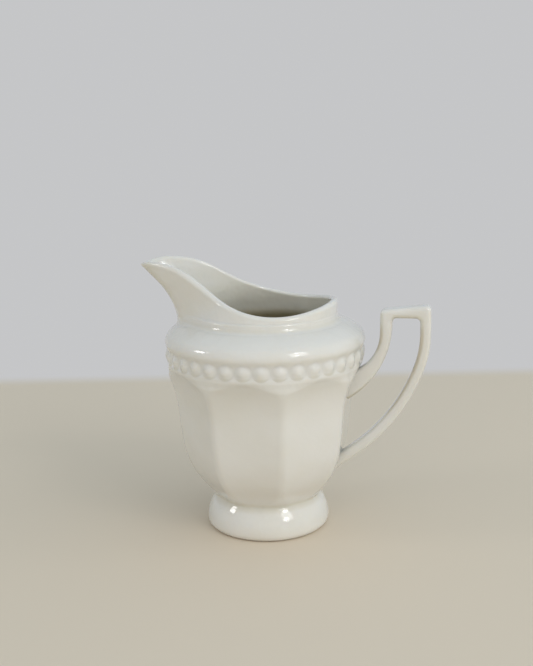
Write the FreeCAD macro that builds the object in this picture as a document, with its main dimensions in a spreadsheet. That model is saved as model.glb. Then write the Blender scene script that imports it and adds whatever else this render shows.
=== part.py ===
import FreeCAD, Part
# Porcelain cream jug: a domed foot, an eight-sided bowl, a round shoulder with a row of beads,
# an open neck drawn out into a pouring lip, and an angular loop handle.
# Millimetres. +Z is up, the handle points along +X, the spout along -X, and the origin is on the
# jug's upright axis at the level of the table.
import math
import os

import Sketcher

SIZES = (
    # the foot, from the table up
    ("foot_height", 11.4, "table to the joint with the bowl"),
    ("foot_belly_radius", 22.4, "widest radius of the domed foot"),
    ("stand_inset", 1.2, "widest place of the foot in to the ring that stands on the table"),
    ("stand_width", 2.8, "width of that ring"),
    ("foot_belly_level", 2.4, "table to the widest place of the foot"),
    ("foot_margin", 0.4, "top of the foot beyond the flats of the bowl's base"),
    ("foot_wall", 3.3, "wall of the foot at that joint"),
    ("foot_hollow_bend", 14.0, "curve of the hollow under the foot, in section"),
    # the bowl: rises from the foot joint, and centre to flat of the eight-sided outside
    ("bowl_height", 48.0, "joint with the foot to the joint with the shoulder"),
    ("bowl_wall", 3.0, "wall of the bowl"),
    ("floor_thickness", 3.2, "floor of the bowl"),
    ("base_flat", 18.3, "centre to flat at the foot joint"),
    ("base_corner", 14.0, "rounding of the corners at the foot joint"),
    ("floor_flat", 16.4, "centre to flat of the floor inside"),
    ("floor_corner", 12.0, "rounding of the corners of the floor inside"),
    ("heel_rise", 4.6, "foot joint to the heel"),
    ("heel_flat", 21.7, "centre to flat at the heel"),
    ("belly_rise", 10.6, "foot joint to the belly"),
    ("belly_flat", 25.4, "centre to flat at the belly"),
    ("flank_rise", 17.6, "foot joint to the flank"),
    ("flank_flat", 27.8, "centre to flat at the flank"),
    ("waist_rise", 26.6, "foot joint to the waist"),
    ("waist_flat", 29.1, "centre to flat at the waist"),
    ("chest_rise", 36.6, "foot joint to the chest"),
    ("chest_flat", 29.9, "centre to flat at the chest"),
    ("bust_drop", 5.4, "shoulder joint down to where the sides turn outward"),
    ("bust_flat", 31.2, "centre to flat where the sides turn outward"),
    ("head_drop", 1.9, "shoulder joint down to the heads of the panels"),
    ("head_flat", 32.9, "centre to flat at the heads of the panels"),
    ("head_corner", 12.0, "rounding of the corners at the heads of the panels, where the arrises fade"),
    ("arris_radius", 3.5, "rounding of the eight upright arrises"),
    ("well_arris_radius", 7.0, "rounding of the corners inside the bowl"),
    ("collar_inset", 0.7, "band of the shoulder in to the flats at the shoulder joint"),
    ("collar_corner", 29.0, "rounding of the corners at the shoulder joint, nearly a circle"),
    ("collar_well_inset", 0.4, "inside of the shoulder in to the flats inside at that joint"),
    ("collar_well_corner", 27.0, "rounding of the corners inside at that joint"),
    # the shoulder, from the bowl joint up
    ("shoulder_height", 17.0, "joint with the bowl to the joint with the neck"),
    ("ground_radius", 34.7, "radius of the ground that carries the beads"),
    ("ground_height", 5.0, "height of that ground"),
    ("band_overhang", 0.6, "band under the beads beyond their ground"),
    ("band_height", 2.6, "height of that band"),
    ("roll_overhang", 1.2, "rolled edge above the beads beyond their ground"),
    ("roll_rise", 1.6, "top of the beads' ground to the widest place of the rolled edge"),
    ("crest_inset", 1.4, "rolled edge in to the crest where it meets the dome"),
    ("crest_rise", 3.6, "widest place of the rolled edge to the crest"),
    ("dome_bend", 26.0, "curve of the dome in section"),
    ("dome_margin", 0.6, "back of the neck in to the dome's flat top"),
    ("shoulder_wall", 3.3, "wall of the shoulder at the beads"),
    ("shoulder_well_height", 8.8, "height of the shoulder's straight inner wall"),
    ("shoulder_well_bend", 9.0, "curve of the shoulder's inner corner, in section"),
    ("shoulder_lid", 3.2, "thickness of the dome at the neck"),
    # the row of beads
    ("bead_radius", 2.6, "radius of one bead"),
    ("bead_sink", 1.2, "centre of a bead behind the ground"),
    ("bead_count", 36, "beads round the band"),
    # the neck and spout: each level is a back circle and a lip circle joined by their tangents
    ("neck_back_reach", 26.2, "axis to the upright back of the neck"),
    ("neck_wall", 2.5, "wall of the neck and the spout"),
    ("boss_depth", 3.0, "depth of the boss that carries the spout on the shoulder"),
    ("boss_taper", 0.3, "lean of that boss"),
    ("root_lip_radius", 14.0, "lip circle at the shoulder"),
    ("root_lip_reach", 31.9, "axis to the front at the shoulder"),
    ("throat_rise", 3.6, "neck joint to the throat"),
    ("throat_tuck", 0.9, "neck's back reach down to the back circle's radius at the throat"),
    ("throat_lip_radius", 12.8, "lip circle at the throat"),
    ("throat_lip_reach", 32.8, "axis to the front at the throat"),
    ("cheek_rise", 7.6, "neck joint to the cheeks"),
    ("cheek_tuck", 1.5, "neck's back reach down to the back circle's radius at the cheeks"),
    ("cheek_lip_radius", 12.0, "lip circle at the cheeks"),
    ("cheek_lip_reach", 34.7, "axis to the front at the cheeks"),
    ("gullet_rise", 11.6, "neck joint to the gullet"),
    ("gullet_tuck", 1.6, "neck's back reach down to the back circle's radius at the gullet"),
    ("gullet_lip_radius", 11.2, "lip circle at the gullet"),
    ("gullet_lip_reach", 37.6, "axis to the front at the gullet"),
    ("spout_rise", 15.6, "neck joint to the spout"),
    ("spout_tuck", 1.5, "neck's back reach down to the back circle's radius at the spout"),
    ("spout_lip_radius", 9.4, "lip circle at the spout"),
    ("spout_lip_reach", 41.9, "axis to the front at the spout"),
    ("beak_rise", 19.4, "neck joint to the beak"),
    ("beak_tuck", 1.4, "neck's back reach down to the back circle's radius at the beak"),
    ("beak_lip_radius", 8.2, "lip circle at the beak"),
    ("beak_lip_reach", 46.3, "axis to the front at the beak"),
    ("blank_margin", 2.1, "top of the neck before its rim is cut, above the rim's crest"),
    ("blank_tuck", 1.3, "neck's back reach down to the back circle's radius before the rim is cut"),
    ("blank_lip_radius", 7.6, "lip circle at the top before the rim is cut"),
    ("blank_lip_reach", 50.2, "axis to the front at the top before the rim is cut"),
    ("rim_dip_place", 10.0, "axis to the lowest place of the rim, toward the handle"),
    ("rim_dip_rise", 3.8, "neck joint to the lowest place of the rim"),
    ("rim_slope", 30.9, "degrees that the rim climbs at on its straight stretch"),
    ("rim_back_bend", 60.0, "sweep of the rim from its lowest place toward the handle"),
    ("rim_crest_place", 38.0, "axis to the highest place of the rim, toward the spout"),
    ("rim_crest_rise", 20.5, "neck joint to the highest place of the rim"),
    ("rim_crest_bend", 30.0, "sweep of the rim up to its highest place"),
    ("rim_beak_bend", 16.0, "sweep of the rim from its highest place down to the tip"),
    ("rim_rounding", 0.6, "rounding of the rim's two edges"),
    # the handle: rises of its upper half from the shoulder joint, of its tail from the foot joint
    ("handle_width", 6.6, "width of the handle across the jug"),
    ("handle_rounding", 1.4, "rounding of the handle's long edges"),
    ("riser_clearance", 5.9, "band of the shoulder out to the riser"),
    ("riser_thickness", 4.4, "thickness of the riser at its top"),
    ("riser_bend_rise", 12.8, "shoulder joint to where the riser starts to bend inward"),
    ("riser_foot_rise", 35.1, "foot joint to the lower end of the riser's root"),
    ("gap_width", 9.4, "width of the finger gap at its top"),
    ("gap_top_rise", 18.1, "shoulder joint to the top of the finger gap"),
    ("gap_bend_drop", 1.8, "top of the finger gap to where the riser bends under it"),
    ("gap_corner_radius", 1.4, "rounding of the finger gap's two top corners"),
    ("bar_thickness", 3.0, "thickness of the top bar at the riser"),
    ("bar_climb", 1.9, "climb of the top bar from the riser to its outer corner"),
    ("bar_corner_radius", 1.8, "rounding of the top bar's two outer corners"),
    ("limb_thickness", 3.9, "thickness of the outer limb"),
    ("limb_bend_rise", 12.7, "shoulder joint to where the outer limb starts to bend inward"),
    ("limb_sweep_rise", 0.7, "shoulder joint to where the bend turns into the long sweep"),
    ("limb_sweep_inset", 2.0, "back of the handle in to the start of the long sweep"),
    ("tail_rise", 14.7, "foot joint to where the outer limb starts to flare into its root"),
    ("tail_clearance", 3.7, "flank of the bowl out to the start of that flare"),
    ("root_depth", 2.0, "how far the roots are drawn inside the bowl before it trims them"),
)

EIGHTH = math.radians(45)
START, END, CENTRE = range(1, 4)
ACROSS, UP = range(-1, -3, -1)
ORIGIN = (ACROSS, START)
PARTS = ("foot", "bowl", "shoulder", "bead_border", "neck_spout", "handle")

doc = FreeCAD.newDocument("cream_jug")
sheet = doc.addObject("Spreadsheet::Sheet", "Dims")
for row, (alias, value, meaning) in enumerate(SIZES, 1):
    sheet.set("A%d" % row, meaning)
    sheet.set("B%d" % row, str(value))
    sheet.setAlias("B%d" % row, alias)
doc.recompute()


class Length:
    """A size of the sheet, or sizes added up, as an expression and as a number."""

    def __init__(self, text, number):
        self.text = text
        self.number = number

    def __add__(self, other):
        return Length("%s + %s" % (self.text, other.text), self.number + other.number)

    def __sub__(self, other):
        return Length("%s - (%s)" % (self.text, other.text), self.number - other.number)

    def __neg__(self):
        return Length("-(%s)" % self.text, -self.number)


def size(alias):
    """The named size of the sheet."""
    return Length("Dims." + alias, float(getattr(sheet, alias)))


NOTHING = Length("0", 0.0)
LEVEL = FreeCAD.Vector(1, 0, 0)
UPRIGHT = FreeCAD.Vector(0, 1, 0)
BOWL_LEVEL = size("foot_height")
SHOULDER_LEVEL = BOWL_LEVEL + size("bowl_height")
NECK_LEVEL = SHOULDER_LEVEL + size("shoulder_height")
BAND_REACH = size("ground_radius") + size("band_overhang")
WELL_REACH = size("ground_radius") - size("shoulder_wall")


# ---- sketches: geometry is drawn at its size, and constraints tie it to the sheet


def new_body(label):
    body = doc.addObject("PartDesign::Body", label)
    body.Label = label
    return body


def new_sketch(body, name, plane, level=None):
    """A sketch on one of the body's own origin planes, lifted to a level."""
    sketch = body.newObject("Sketcher::SketchObject", name)
    support = [item for item in body.Origin.OriginFeatures if item.Role == plane][0]
    sketch.AttachmentSupport = [(support, "")]
    sketch.MapMode = "FlatFace"
    if level is not None:
        sketch.setExpression("AttachmentOffset.Base.z", level.text)
    return sketch


def point(x, y):
    return FreeCAD.Vector(x, y, 0)


def arc(centre, radius, begin, finish):
    """An arc that runs anticlockwise from one angle to another."""
    circle = Part.Circle(point(*centre), FreeCAD.Vector(0, 0, 1), radius)
    return Part.ArcOfCircle(circle, begin, finish)


def join(sketch, kind, *places):
    sketch.addConstraint(Sketcher.Constraint(kind, *places))


def tie(sketch, kind, places, length):
    """A constraint whose value follows a length."""
    index = sketch.addConstraint(Sketcher.Constraint(kind, *places, length.number))
    sketch.setExpression("Constraints[%d]" % index, length.text)


def place(sketch, spot, across=None, up=None):
    """Hold a point of the sketch at its distances from the origin."""
    for kind, axis, length in (("DistanceX", UP, across), ("DistanceY", ACROSS, up)):
        if length is None:
            continue
        if length is NOTHING:
            join(sketch, "PointOnObject", *spot, axis)
        elif length.number < 0:
            tie(sketch, kind, spot + ORIGIN, -length)
        else:
            tie(sketch, kind, ORIGIN + spot, length)


def square(way):
    """The way turned a quarter to the left."""
    return point(-way.y, way.x)


def turned(x, y, angle):
    c, s = math.cos(angle), math.sin(angle)
    return (c * x - s * y, s * x + c * y)


def octagon(body, name, level, flat, corner):
    """A regular octagon with rounded corners and one flat square to +X."""
    sketch = new_sketch(body, name, "XY_Plane", level)
    reach, bend = flat.number, corner.number
    half = (reach - bend) * math.tan(EIGHTH / 2)
    for k in range(8):
        ends = [point(*turned(reach, side, k * EIGHTH)) for side in (-half, half)]
        sketch.addGeometry(Part.LineSegment(*ends))
    for k in range(8):
        centre = turned(reach - bend, half, k * EIGHTH)
        sketch.addGeometry(arc(centre, bend, k * EIGHTH, (k + 1) * EIGHTH))
    guide = sketch.addGeometry(Part.Circle(point(0, 0), FreeCAD.Vector(0, 0, 1), reach), True)
    join(sketch, "Coincident", guide, CENTRE, *ORIGIN)
    tie(sketch, "Radius", (guide,), flat)
    tie(sketch, "Radius", (8,), corner)
    for k in range(8):
        join(sketch, "Angle", k, math.remainder(math.pi / 2 + k * EIGHTH, 2 * math.pi))
        join(sketch, "Tangent", k, END, 8 + k, START)
        join(sketch, "Tangent", 8 + k, END, (k + 1) % 8, START)
        join(sketch, "Tangent", k, guide)
    for k in range(1, 8):
        join(sketch, "Equal", 8, 8 + k)
    return sketch


def teardrop(body, name, level, tuck, lip, reach, inset=NOTHING):
    """A back circle and a lip circle toward -X, joined by their two outer tangents.

    The back circle is smaller than the neck's upright back by a tuck, and touches it.
    """
    sketch = new_sketch(body, name, "XY_Plane", level)
    lip_place = lip - reach
    back = size("neck_back_reach") - tuck - inset
    lip = lip - inset
    centres = (tuck.number, lip_place.number)
    turn = math.pi / 2 + math.asin((back.number - lip.number) / (centres[0] - centres[1]))
    touch = [point(centre + radius * math.cos(turn), side * radius * math.sin(turn))
             for centre, radius in zip(centres, (back.number, lip.number)) for side in (1, -1)]
    sketch.addGeometry(arc((centres[0], 0), back.number, -turn, turn))
    sketch.addGeometry(Part.LineSegment(touch[0], touch[2]))
    sketch.addGeometry(arc((centres[1], 0), lip.number, turn, 2 * math.pi - turn))
    sketch.addGeometry(Part.LineSegment(touch[3], touch[1]))
    for k in range(4):
        join(sketch, "Tangent", k, END, (k + 1) % 4, START)
    place(sketch, (0, CENTRE), across=tuck, up=NOTHING)
    place(sketch, (2, CENTRE), across=lip_place, up=NOTHING)
    tie(sketch, "Radius", (0,), back)
    tie(sketch, "Radius", (2,), lip)
    return sketch


class Outline:
    """A closed outline of lines and arcs on a body's XZ plane, drawn from corner to corner.

    A corner's coordinate is a length that it is tied to, or a plain number where the sides that
    meet there put it.
    """

    def __init__(self, body, name, x, z):
        self.sketch = new_sketch(body, name, "XZ_Plane")
        self.corners = [(x, z)]
        self.sides = []
        self.heading = None

    def ends(self, x, z):
        """The two ends of a new side that leads to a corner."""
        self.corners.append((x, z))
        numbers = [[getattr(value, "number", value) for value in corner] for corner in self.corners[-2:]]
        return [point(*pair) for pair in numbers]

    def line(self, x, z, smooth=False):
        """A straight side. A smooth side is tangent to the side before it."""
        before, after = self.ends(x, z)
        side = self.sketch.addGeometry(Part.LineSegment(before, after))
        self.sides.append((side, START, END, smooth))
        self.heading = (after - before).normalize()
        return side

    def arc(self, x, z, leave=None, arrive=None, bend=None, left=True, centre=None, smooth=False):
        """A bent side, found from the first of these that is given.

        centre: its centre, where later constraints hold it.
        arrive: LEVEL or UPRIGHT, its way at its end.
        leave: LEVEL or UPRIGHT, its way at its start, or smooth: the way of the side before it.
        bend: its radius, with left saying whether it turns left or right of its way.
        """
        before, after = self.ends(x, z)
        chord = after - before
        if centre is None and (arrive or leave or smooth):
            way = square(arrive or leave or self.heading)
            near = after if arrive else before
            reach = chord.Length ** 2 / 2 / chord.dot(way)
            centre = near + way * (-reach if arrive else reach)
        elif centre is None:
            depth = math.sqrt(bend.number ** 2 - chord.Length ** 2 / 4)
            centre = before + chord / 2 + square(chord).normalize() * (depth if left else -depth)
        left = square(chord).dot(centre - before) > 0
        angles = [math.atan2(end.y - centre.y, end.x - centre.x) for end in (before, after)]
        ends = (START, END)
        if not left:
            angles.reverse()
            ends = (END, START)
        side = self.sketch.addGeometry(arc(centre[:2], (before - centre).Length, *angles))
        self.sides.append((side, *ends, smooth))
        self.heading = square(after - centre).normalize() * (1 if left else -1)
        if bend:
            tie(self.sketch, "Radius", (side,), bend)
        for way, end in ((leave, ends[0]), (arrive, ends[1])):
            if way:
                kind = "Vertical" if way is LEVEL else "Horizontal"
                join(self.sketch, kind, side, CENTRE, side, end)
        return side

    def close(self):
        """A straight side back to the start if it is still open, then all joints and ties."""
        if self.corners[-1] != self.corners[0]:
            self.line(*self.corners[0])
        for k, (side, start, end, smooth) in enumerate(self.sides):
            before, before_start, before_end, before_smooth = self.sides[k - 1]
            join(self.sketch, "Tangent" if smooth else "Coincident", before, before_end, side, start)
            across, up = [value if isinstance(value, Length) else None for value in self.corners[k]]
            place(self.sketch, (side, start), across, up)
        return self.sketch


# ---- features


def revolve(body, name, sketch):
    feature = body.newObject("PartDesign::Revolution", name)
    feature.Profile = sketch
    feature.ReferenceAxis = (sketch, ["V_Axis"])
    feature.Angle = 360


def loft(body, name, sections, kind="PartDesign::AdditiveLoft"):
    feature = body.newObject(kind, name)
    feature.Profile = sections[0]
    feature.Sections = sections[1:]


def fillet(body, name, radius, edges):
    """Round the edges, picked from the body's shape as it is so far."""
    doc.recompute()
    base = body.Tip
    names = ["Edge%d" % k for k, edge in enumerate(base.Shape.Edges, 1) if edges(edge)]
    feature = body.newObject("PartDesign::Fillet", name)
    feature.Base = (base, names)
    feature.setExpression("Radius", radius)


def circle_level(centre, radius, across):
    """The level of the lower point of a circle at a place across."""
    return centre.y - math.sqrt(radius ** 2 - (across - centre.x) ** 2)


def combine(kind, label, base, tool):
    result = doc.addObject(kind, label)
    result.Label = label
    result.Base = base
    result.Tool = tool
    return result


# ---- the six pieces


def make_foot():
    """A domed pedestal on a flat standing ring, hollow underneath."""
    body = new_body("foot")
    belly = size("foot_belly_radius")
    stand = belly - size("stand_inset")
    top = size("base_flat") + size("foot_margin")
    profile = Outline(body, "foot_profile", stand - size("stand_width"), NOTHING)
    profile.line(stand, NOTHING)
    profile.arc(belly, size("foot_belly_level"), arrive=UPRIGHT)
    profile.arc(top, BOWL_LEVEL, leave=UPRIGHT)
    profile.line(top - size("foot_wall"), BOWL_LEVEL)
    profile.arc(*profile.corners[0], bend=size("foot_hollow_bend"), left=False)
    revolve(body, "foot_turned", profile.close())


def bowl_levels():
    """The name, level and outer flat of each station of the bowl between its base and its head."""
    risen = ("heel", "belly", "flank", "waist", "chest")
    levels = [(name, BOWL_LEVEL + size(name + "_rise")) for name in risen]
    levels.append(("bust", SHOULDER_LEVEL - size("bust_drop")))
    return [(name, level, size(name + "_flat")) for name, level in levels]


def make_bowl():
    """An eight-sided bowl whose panels cove outward to a round collar."""
    form = new_body("bowl_form")
    arris = size("arris_radius")
    head = SHOULDER_LEVEL - size("head_drop")
    sides = [octagon(form, "base_outside", BOWL_LEVEL, size("base_flat"), size("base_corner"))]
    sides += [octagon(form, name + "_outside", level, flat, arris) for name, level, flat in bowl_levels()]
    sides.append(octagon(form, "head_outside", head, size("head_flat"), size("head_corner")))
    loft(form, "panels", sides)
    collar = BAND_REACH - size("collar_inset")
    cove = [octagon(form, "cove_foot", head, size("head_flat"), size("head_corner")),
            octagon(form, "collar_outside", SHOULDER_LEVEL, collar, size("collar_corner"))]
    loft(form, "cove", cove)

    well = new_body("bowl_well")
    floor = BOWL_LEVEL + size("floor_thickness")
    inside = [octagon(well, "floor_inside", floor, size("floor_flat"), size("floor_corner"))]
    inside += [octagon(well, name + "_inside", level, flat - size("bowl_wall"), size("well_arris_radius"))
               for name, level, flat in bowl_levels()[1:]]
    inside.append(octagon(well, "collar_inside", SHOULDER_LEVEL, WELL_REACH - size("collar_well_inset"),
                          size("collar_well_corner")))
    loft(well, "hollow", inside)
    combine("Part::Cut", "bowl", form, well)
    return form


def neck_root():
    """The tuck, the lip circle and the reach of the neck where it stands on the shoulder."""
    return NOTHING, size("root_lip_radius"), size("root_lip_reach")


def make_shoulder():
    """A turned shoulder: band, ground of the beads, rolled edge and low dome, with an open top."""
    form = new_body("shoulder_form")
    ground = size("ground_radius")
    ground_level = SHOULDER_LEVEL + size("band_height")
    ground_top = ground_level + size("ground_height")
    roll = ground + size("roll_overhang")
    roll_level = ground_top + size("roll_rise")
    profile = Outline(form, "shoulder_profile", NOTHING, SHOULDER_LEVEL)
    profile.line(BAND_REACH, SHOULDER_LEVEL)
    profile.line(BAND_REACH, ground_level)
    profile.line(ground, ground_level)
    profile.line(ground, ground_top)
    profile.arc(roll, roll_level, arrive=UPRIGHT)
    profile.arc(roll - size("crest_inset"), roll_level + size("crest_rise"), leave=UPRIGHT)
    profile.arc(size("neck_back_reach") - size("dome_margin"), NECK_LEVEL, bend=size("dome_bend"))
    profile.line(NOTHING, NECK_LEVEL)
    revolve(form, "shoulder_turned", profile.close())
    boss = [teardrop(form, "boss_root", NECK_LEVEL - size("boss_depth"), *neck_root(), size("boss_taper")),
            teardrop(form, "boss_top", NECK_LEVEL, *neck_root())]
    loft(form, "spout_boss", boss)

    well = new_body("shoulder_well")
    straight = SHOULDER_LEVEL + size("shoulder_well_height")
    lid = NECK_LEVEL - size("shoulder_lid")
    wall = size("neck_wall")
    profile = Outline(well, "well_profile", NOTHING, SHOULDER_LEVEL)
    profile.line(WELL_REACH, SHOULDER_LEVEL)
    profile.line(WELL_REACH, straight)
    profile.arc(size("neck_back_reach") - wall, lid, bend=size("shoulder_well_bend"))
    profile.line(NOTHING, lid)
    revolve(well, "well_turned", profile.close())
    mouth = [teardrop(well, "mouth_foot", straight, *neck_root(), wall),
             teardrop(well, "mouth_top", NECK_LEVEL, *neck_root(), wall)]
    loft(well, "mouth", mouth)
    combine("Part::Cut", "shoulder", form, well)
    return form


def make_beads(shoulder_form):
    """A row of round beads standing out of their ground."""
    row = new_body("bead_row")
    row.AllowCompound = True
    middle = SHOULDER_LEVEL + size("band_height")
    bead = row.newObject("PartDesign::AdditiveSphere", "bead")
    bead.setExpression("Radius", "Dims.bead_radius")
    bead.setExpression("Placement.Base.x", (size("ground_radius") - size("bead_sink")).text)
    bead.setExpression("Placement.Base.z", middle.text + " + Dims.ground_height / 2")
    pattern = row.newObject("PartDesign::PolarPattern", "beads_around")
    pattern.Originals = [bead]
    axis = [item for item in row.Origin.OriginFeatures if item.Role == "Z_Axis"][0]
    pattern.Axis = (axis, [""])
    pattern.Angle = 360
    pattern.setExpression("Occurrences", "Dims.bead_count")
    row.Tip = pattern
    combine("Part::Cut", "bead_border", row, shoulder_form)


def neck_sections(body, side, inset):
    """The levels of the neck from the shoulder up, drawn in from the outside by an inset."""
    sections = [teardrop(body, "root_" + side, NECK_LEVEL, *neck_root(), inset)]
    for name in ("throat", "cheek", "gullet", "spout", "beak", "blank"):
        rise = size("rim_crest_rise") + size("blank_margin") if name == "blank" else size(name + "_rise")
        shape = [size(name + part) for part in ("_tuck", "_lip_radius", "_lip_reach")]
        sections.append(teardrop(body, name + "_" + side, NECK_LEVEL + rise, *shape, inset))
    return sections


def rim_outline(body):
    """What is cut away over the rim: down to the tip, over the crest, and along the dip."""
    crest = (-size("rim_crest_place"), NECK_LEVEL + size("rim_crest_rise"))
    dip = (size("rim_dip_place"), NECK_LEVEL + size("rim_dip_rise"))
    top = crest[1] + size("rim_beak_bend")
    front = -size("blank_lip_reach") - size("rim_beak_bend")
    back = size("neck_back_reach") + size("neck_wall")
    slope = size("rim_slope")
    lean = math.radians(slope.number)
    crest_bend = size("rim_crest_bend").number
    run, fall = dip[0].number - crest[0].number, crest[1].number - dip[1].number
    dip_bend = (run * math.tan(lean) - fall) / (1 / math.cos(lean) - 1) - crest_bend
    leaves = (math.sin(lean), math.cos(lean) - 1)
    outline = Outline(body, "rim_line", front, top)
    outline.line(front, crest[1] - size("rim_beak_bend"))
    outline.line(crest[0] - size("rim_beak_bend"), crest[1] - size("rim_beak_bend"))
    outline.arc(*crest, leave=UPRIGHT)
    outline.arc(*[end.number + crest_bend * part for end, part in zip(crest, leaves)], leave=LEVEL,
                bend=size("rim_crest_bend"))
    stretch = outline.line(*[end.number - dip_bend * part for end, part in zip(dip, leaves)], smooth=True)
    outline.arc(*dip, arrive=LEVEL, smooth=True)
    back_bend = size("rim_back_bend")
    climb = back_bend.number - math.sqrt(back_bend.number ** 2 - (back.number - dip[0].number) ** 2)
    outline.arc(back, dip[1].number + climb, leave=LEVEL, bend=back_bend)
    outline.line(back, top)
    tie(outline.sketch, "Angle", (stretch,), Length("-%s * 1 deg" % slope.text, -lean))
    return outline.close()


def make_neck():
    """An open neck drawn out into a spout, its rim cut along one sweeping line."""
    body = new_body("neck_spout")
    loft(body, "neck_outside", neck_sections(body, "outside", NOTHING))
    loft(body, "neck_inside", neck_sections(body, "inside", size("neck_wall")),
         "PartDesign::SubtractiveLoft")
    rim = rim_outline(body)
    cutter = body.newObject("PartDesign::Pocket", "rim_cut")
    cutter.Profile = rim
    cutter.Type = "ThroughAll"
    cutter.SideType = "Symmetric"

    def on_rim(edge):
        spots = [edge.valueAt(edge.FirstParameter + share * (edge.LastParameter - edge.FirstParameter))
                 for share in (0, 0.5, 1)]
        flat = [Part.Vertex(spot.x, 0, spot.z) for spot in spots]
        straight = isinstance(edge.Curve, Part.Line)
        return not straight and all(rim.Shape.distToShape(vertex)[0] < 0.01 for vertex in flat)

    fillet(body, "rim_rounding", "min(Dims.rim_rounding; 0.3 * Dims.neck_wall)", on_rim)


def make_handle(bowl_form, shoulder_form):
    """An angular loop: a riser, a top bar, and an outer limb that sweeps back to the bowl."""
    blank = new_body("handle_blank")
    riser = BAND_REACH + size("riser_clearance")
    gap = riser + size("riser_thickness")
    limb = gap + size("gap_width")
    back = limb + size("limb_thickness")
    gap_top = SHOULDER_LEVEL + size("gap_top_rise")
    bar_top = gap_top + size("bar_thickness")
    bend_level = SHOULDER_LEVEL + size("limb_bend_rise")
    sweep_start = (back - size("limb_sweep_inset"), SHOULDER_LEVEL + size("limb_sweep_rise"))
    tail = (size("flank_flat") + size("tail_clearance"), BOWL_LEVEL + size("tail_rise"))
    root = size("root_depth")
    tail_root = (size("heel_flat") - root, BOWL_LEVEL + size("heel_rise"))
    tail_end = size("flank_flat") - root
    riser_top = (riser, SHOULDER_LEVEL + size("riser_bend_rise"))
    riser_root = (size("head_flat") - root, SHOULDER_LEVEL - size("head_drop"))
    riser_foot = (size("chest_flat") - root, BOWL_LEVEL + size("riser_foot_rise"))

    side = Outline(blank, "handle_side", *riser_root)
    side.arc(*riser_top, arrive=UPRIGHT)
    side.line(riser, bar_top)
    side.line(back, bar_top + size("bar_climb"))
    side.line(back, bend_level)
    bend = side.arc(*sweep_start, smooth=True)
    sweep = side.arc(*tail, smooth=True)
    side.arc(*tail_root, smooth=True)
    centres = [side.sketch.Geometry[curve].Center for curve in (bend, sweep)]
    radii = [side.sketch.Geometry[curve].Radius - size("limb_thickness").number for curve in (bend, sweep)]
    lower_end = side.line(tail_end, circle_level(centres[1], radii[1], tail_end.number))
    outward = (centres[0] - centres[1]).normalize()
    inner_sweep = side.arc(*(centres[0] + outward * radii[0])[:2], centre=centres[1])
    inner_bend = side.arc(limb, bend_level, centre=centres[0], smooth=True)
    side.line(limb, gap_top)
    side.line(gap, gap_top)
    side.line(gap, gap_top - size("gap_bend_drop"))
    side.arc(*riser_foot, smooth=True)
    sketch = side.close()
    join(sketch, "Coincident", bend, CENTRE, inner_bend, CENTRE)
    join(sketch, "Coincident", sweep, CENTRE, inner_sweep, CENTRE)
    pad = blank.newObject("PartDesign::Pad", "handle_pad")
    pad.Profile = sketch
    pad.SideType = "Symmetric"
    pad.setExpression("Length", "Dims.handle_width")

    def corner(*corners):
        spots = [(x.number, z.number) for x, z in corners]
        return lambda edge: any(all(math.dist((end.X, end.Z), spot) < 0.01 for end in edge.Vertexes)
                                for spot in spots)

    bar_corners = corner((riser, bar_top), (back, bar_top + size("bar_climb")))
    fillet(blank, "bar_corners", size("bar_corner_radius").text, bar_corners)
    fillet(blank, "gap_corners", size("gap_corner_radius").text, corner((limb, gap_top), (gap, gap_top)))
    half = size("handle_width").number / 2
    upper_end = len(sketch.Geometry) - 1
    ends = [sketch.Geometry[line] for line in (lower_end, upper_end)]

    def along_limbs(edge):
        middle = edge.CenterOfMass
        beside = abs(middle.y) > half - 0.01
        across_end = any(math.dist((middle.x, middle.z), line.value(line.length() / 2)[:2]) < 0.01
                         for line in ends)
        return beside and not across_end

    thinnest = "min(Dims.handle_rounding; 0.48 * Dims.bar_thickness; 0.48 * Dims.limb_thickness)"
    fillet(blank, "long_edges", thinnest, along_limbs)
    seat = combine("Part::Fuse", "handle_seat", bowl_form, shoulder_form)
    combine("Part::Cut", "handle", blank, seat)


def check(item):
    """Stop if an object has failed or its shape is not sound."""
    broken = [state for state in item.State if state in ("Invalid", "Error")]
    if broken:
        raise RuntimeError("%s is %s" % (item.Label, ", ".join(broken)))


make_foot()
bowl_outside = make_bowl()
shoulder_outside = make_shoulder()
make_beads(shoulder_outside)
make_neck()
make_handle(bowl_outside, shoulder_outside)
doc.recompute()

for item in doc.Objects:
    check(item)
pieces = [doc.getObjectsByLabel(name)[0] for name in PARTS]
for piece in pieces:
    if piece.Shape.isNull() or not piece.Shape.isValid():
        raise RuntimeError("%s has no sound shape" % piece.Label)
os.makedirs("parts", exist_ok=True)
for piece in pieces:
    piece.Shape.exportStep(os.path.join("parts", piece.Label + ".step"))
    print(piece.Label, "solids", len(piece.Shape.Solids), "volume", round(piece.Shape.Volume, 1))
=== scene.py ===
"""Looks of a glazed porcelain cream jug, dressed piece by piece over its fixed frame.

Sizes are in millimetres until a piece is finished, and in metres in the scene. +Z is up, the
handle points along +X, the spout along -X, and the table is at level 0.
"""

import logging
import math
from abc import ABC, abstractmethod
from dataclasses import dataclass, field
from enum import Enum
from functools import cached_property, partial
from typing import Callable, ClassVar, Iterable, TypeVar

import bmesh
import bpy
from bmesh.types import BMEdge, BMesh, BMFace, BMVert
from mathutils import Matrix, Vector


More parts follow.
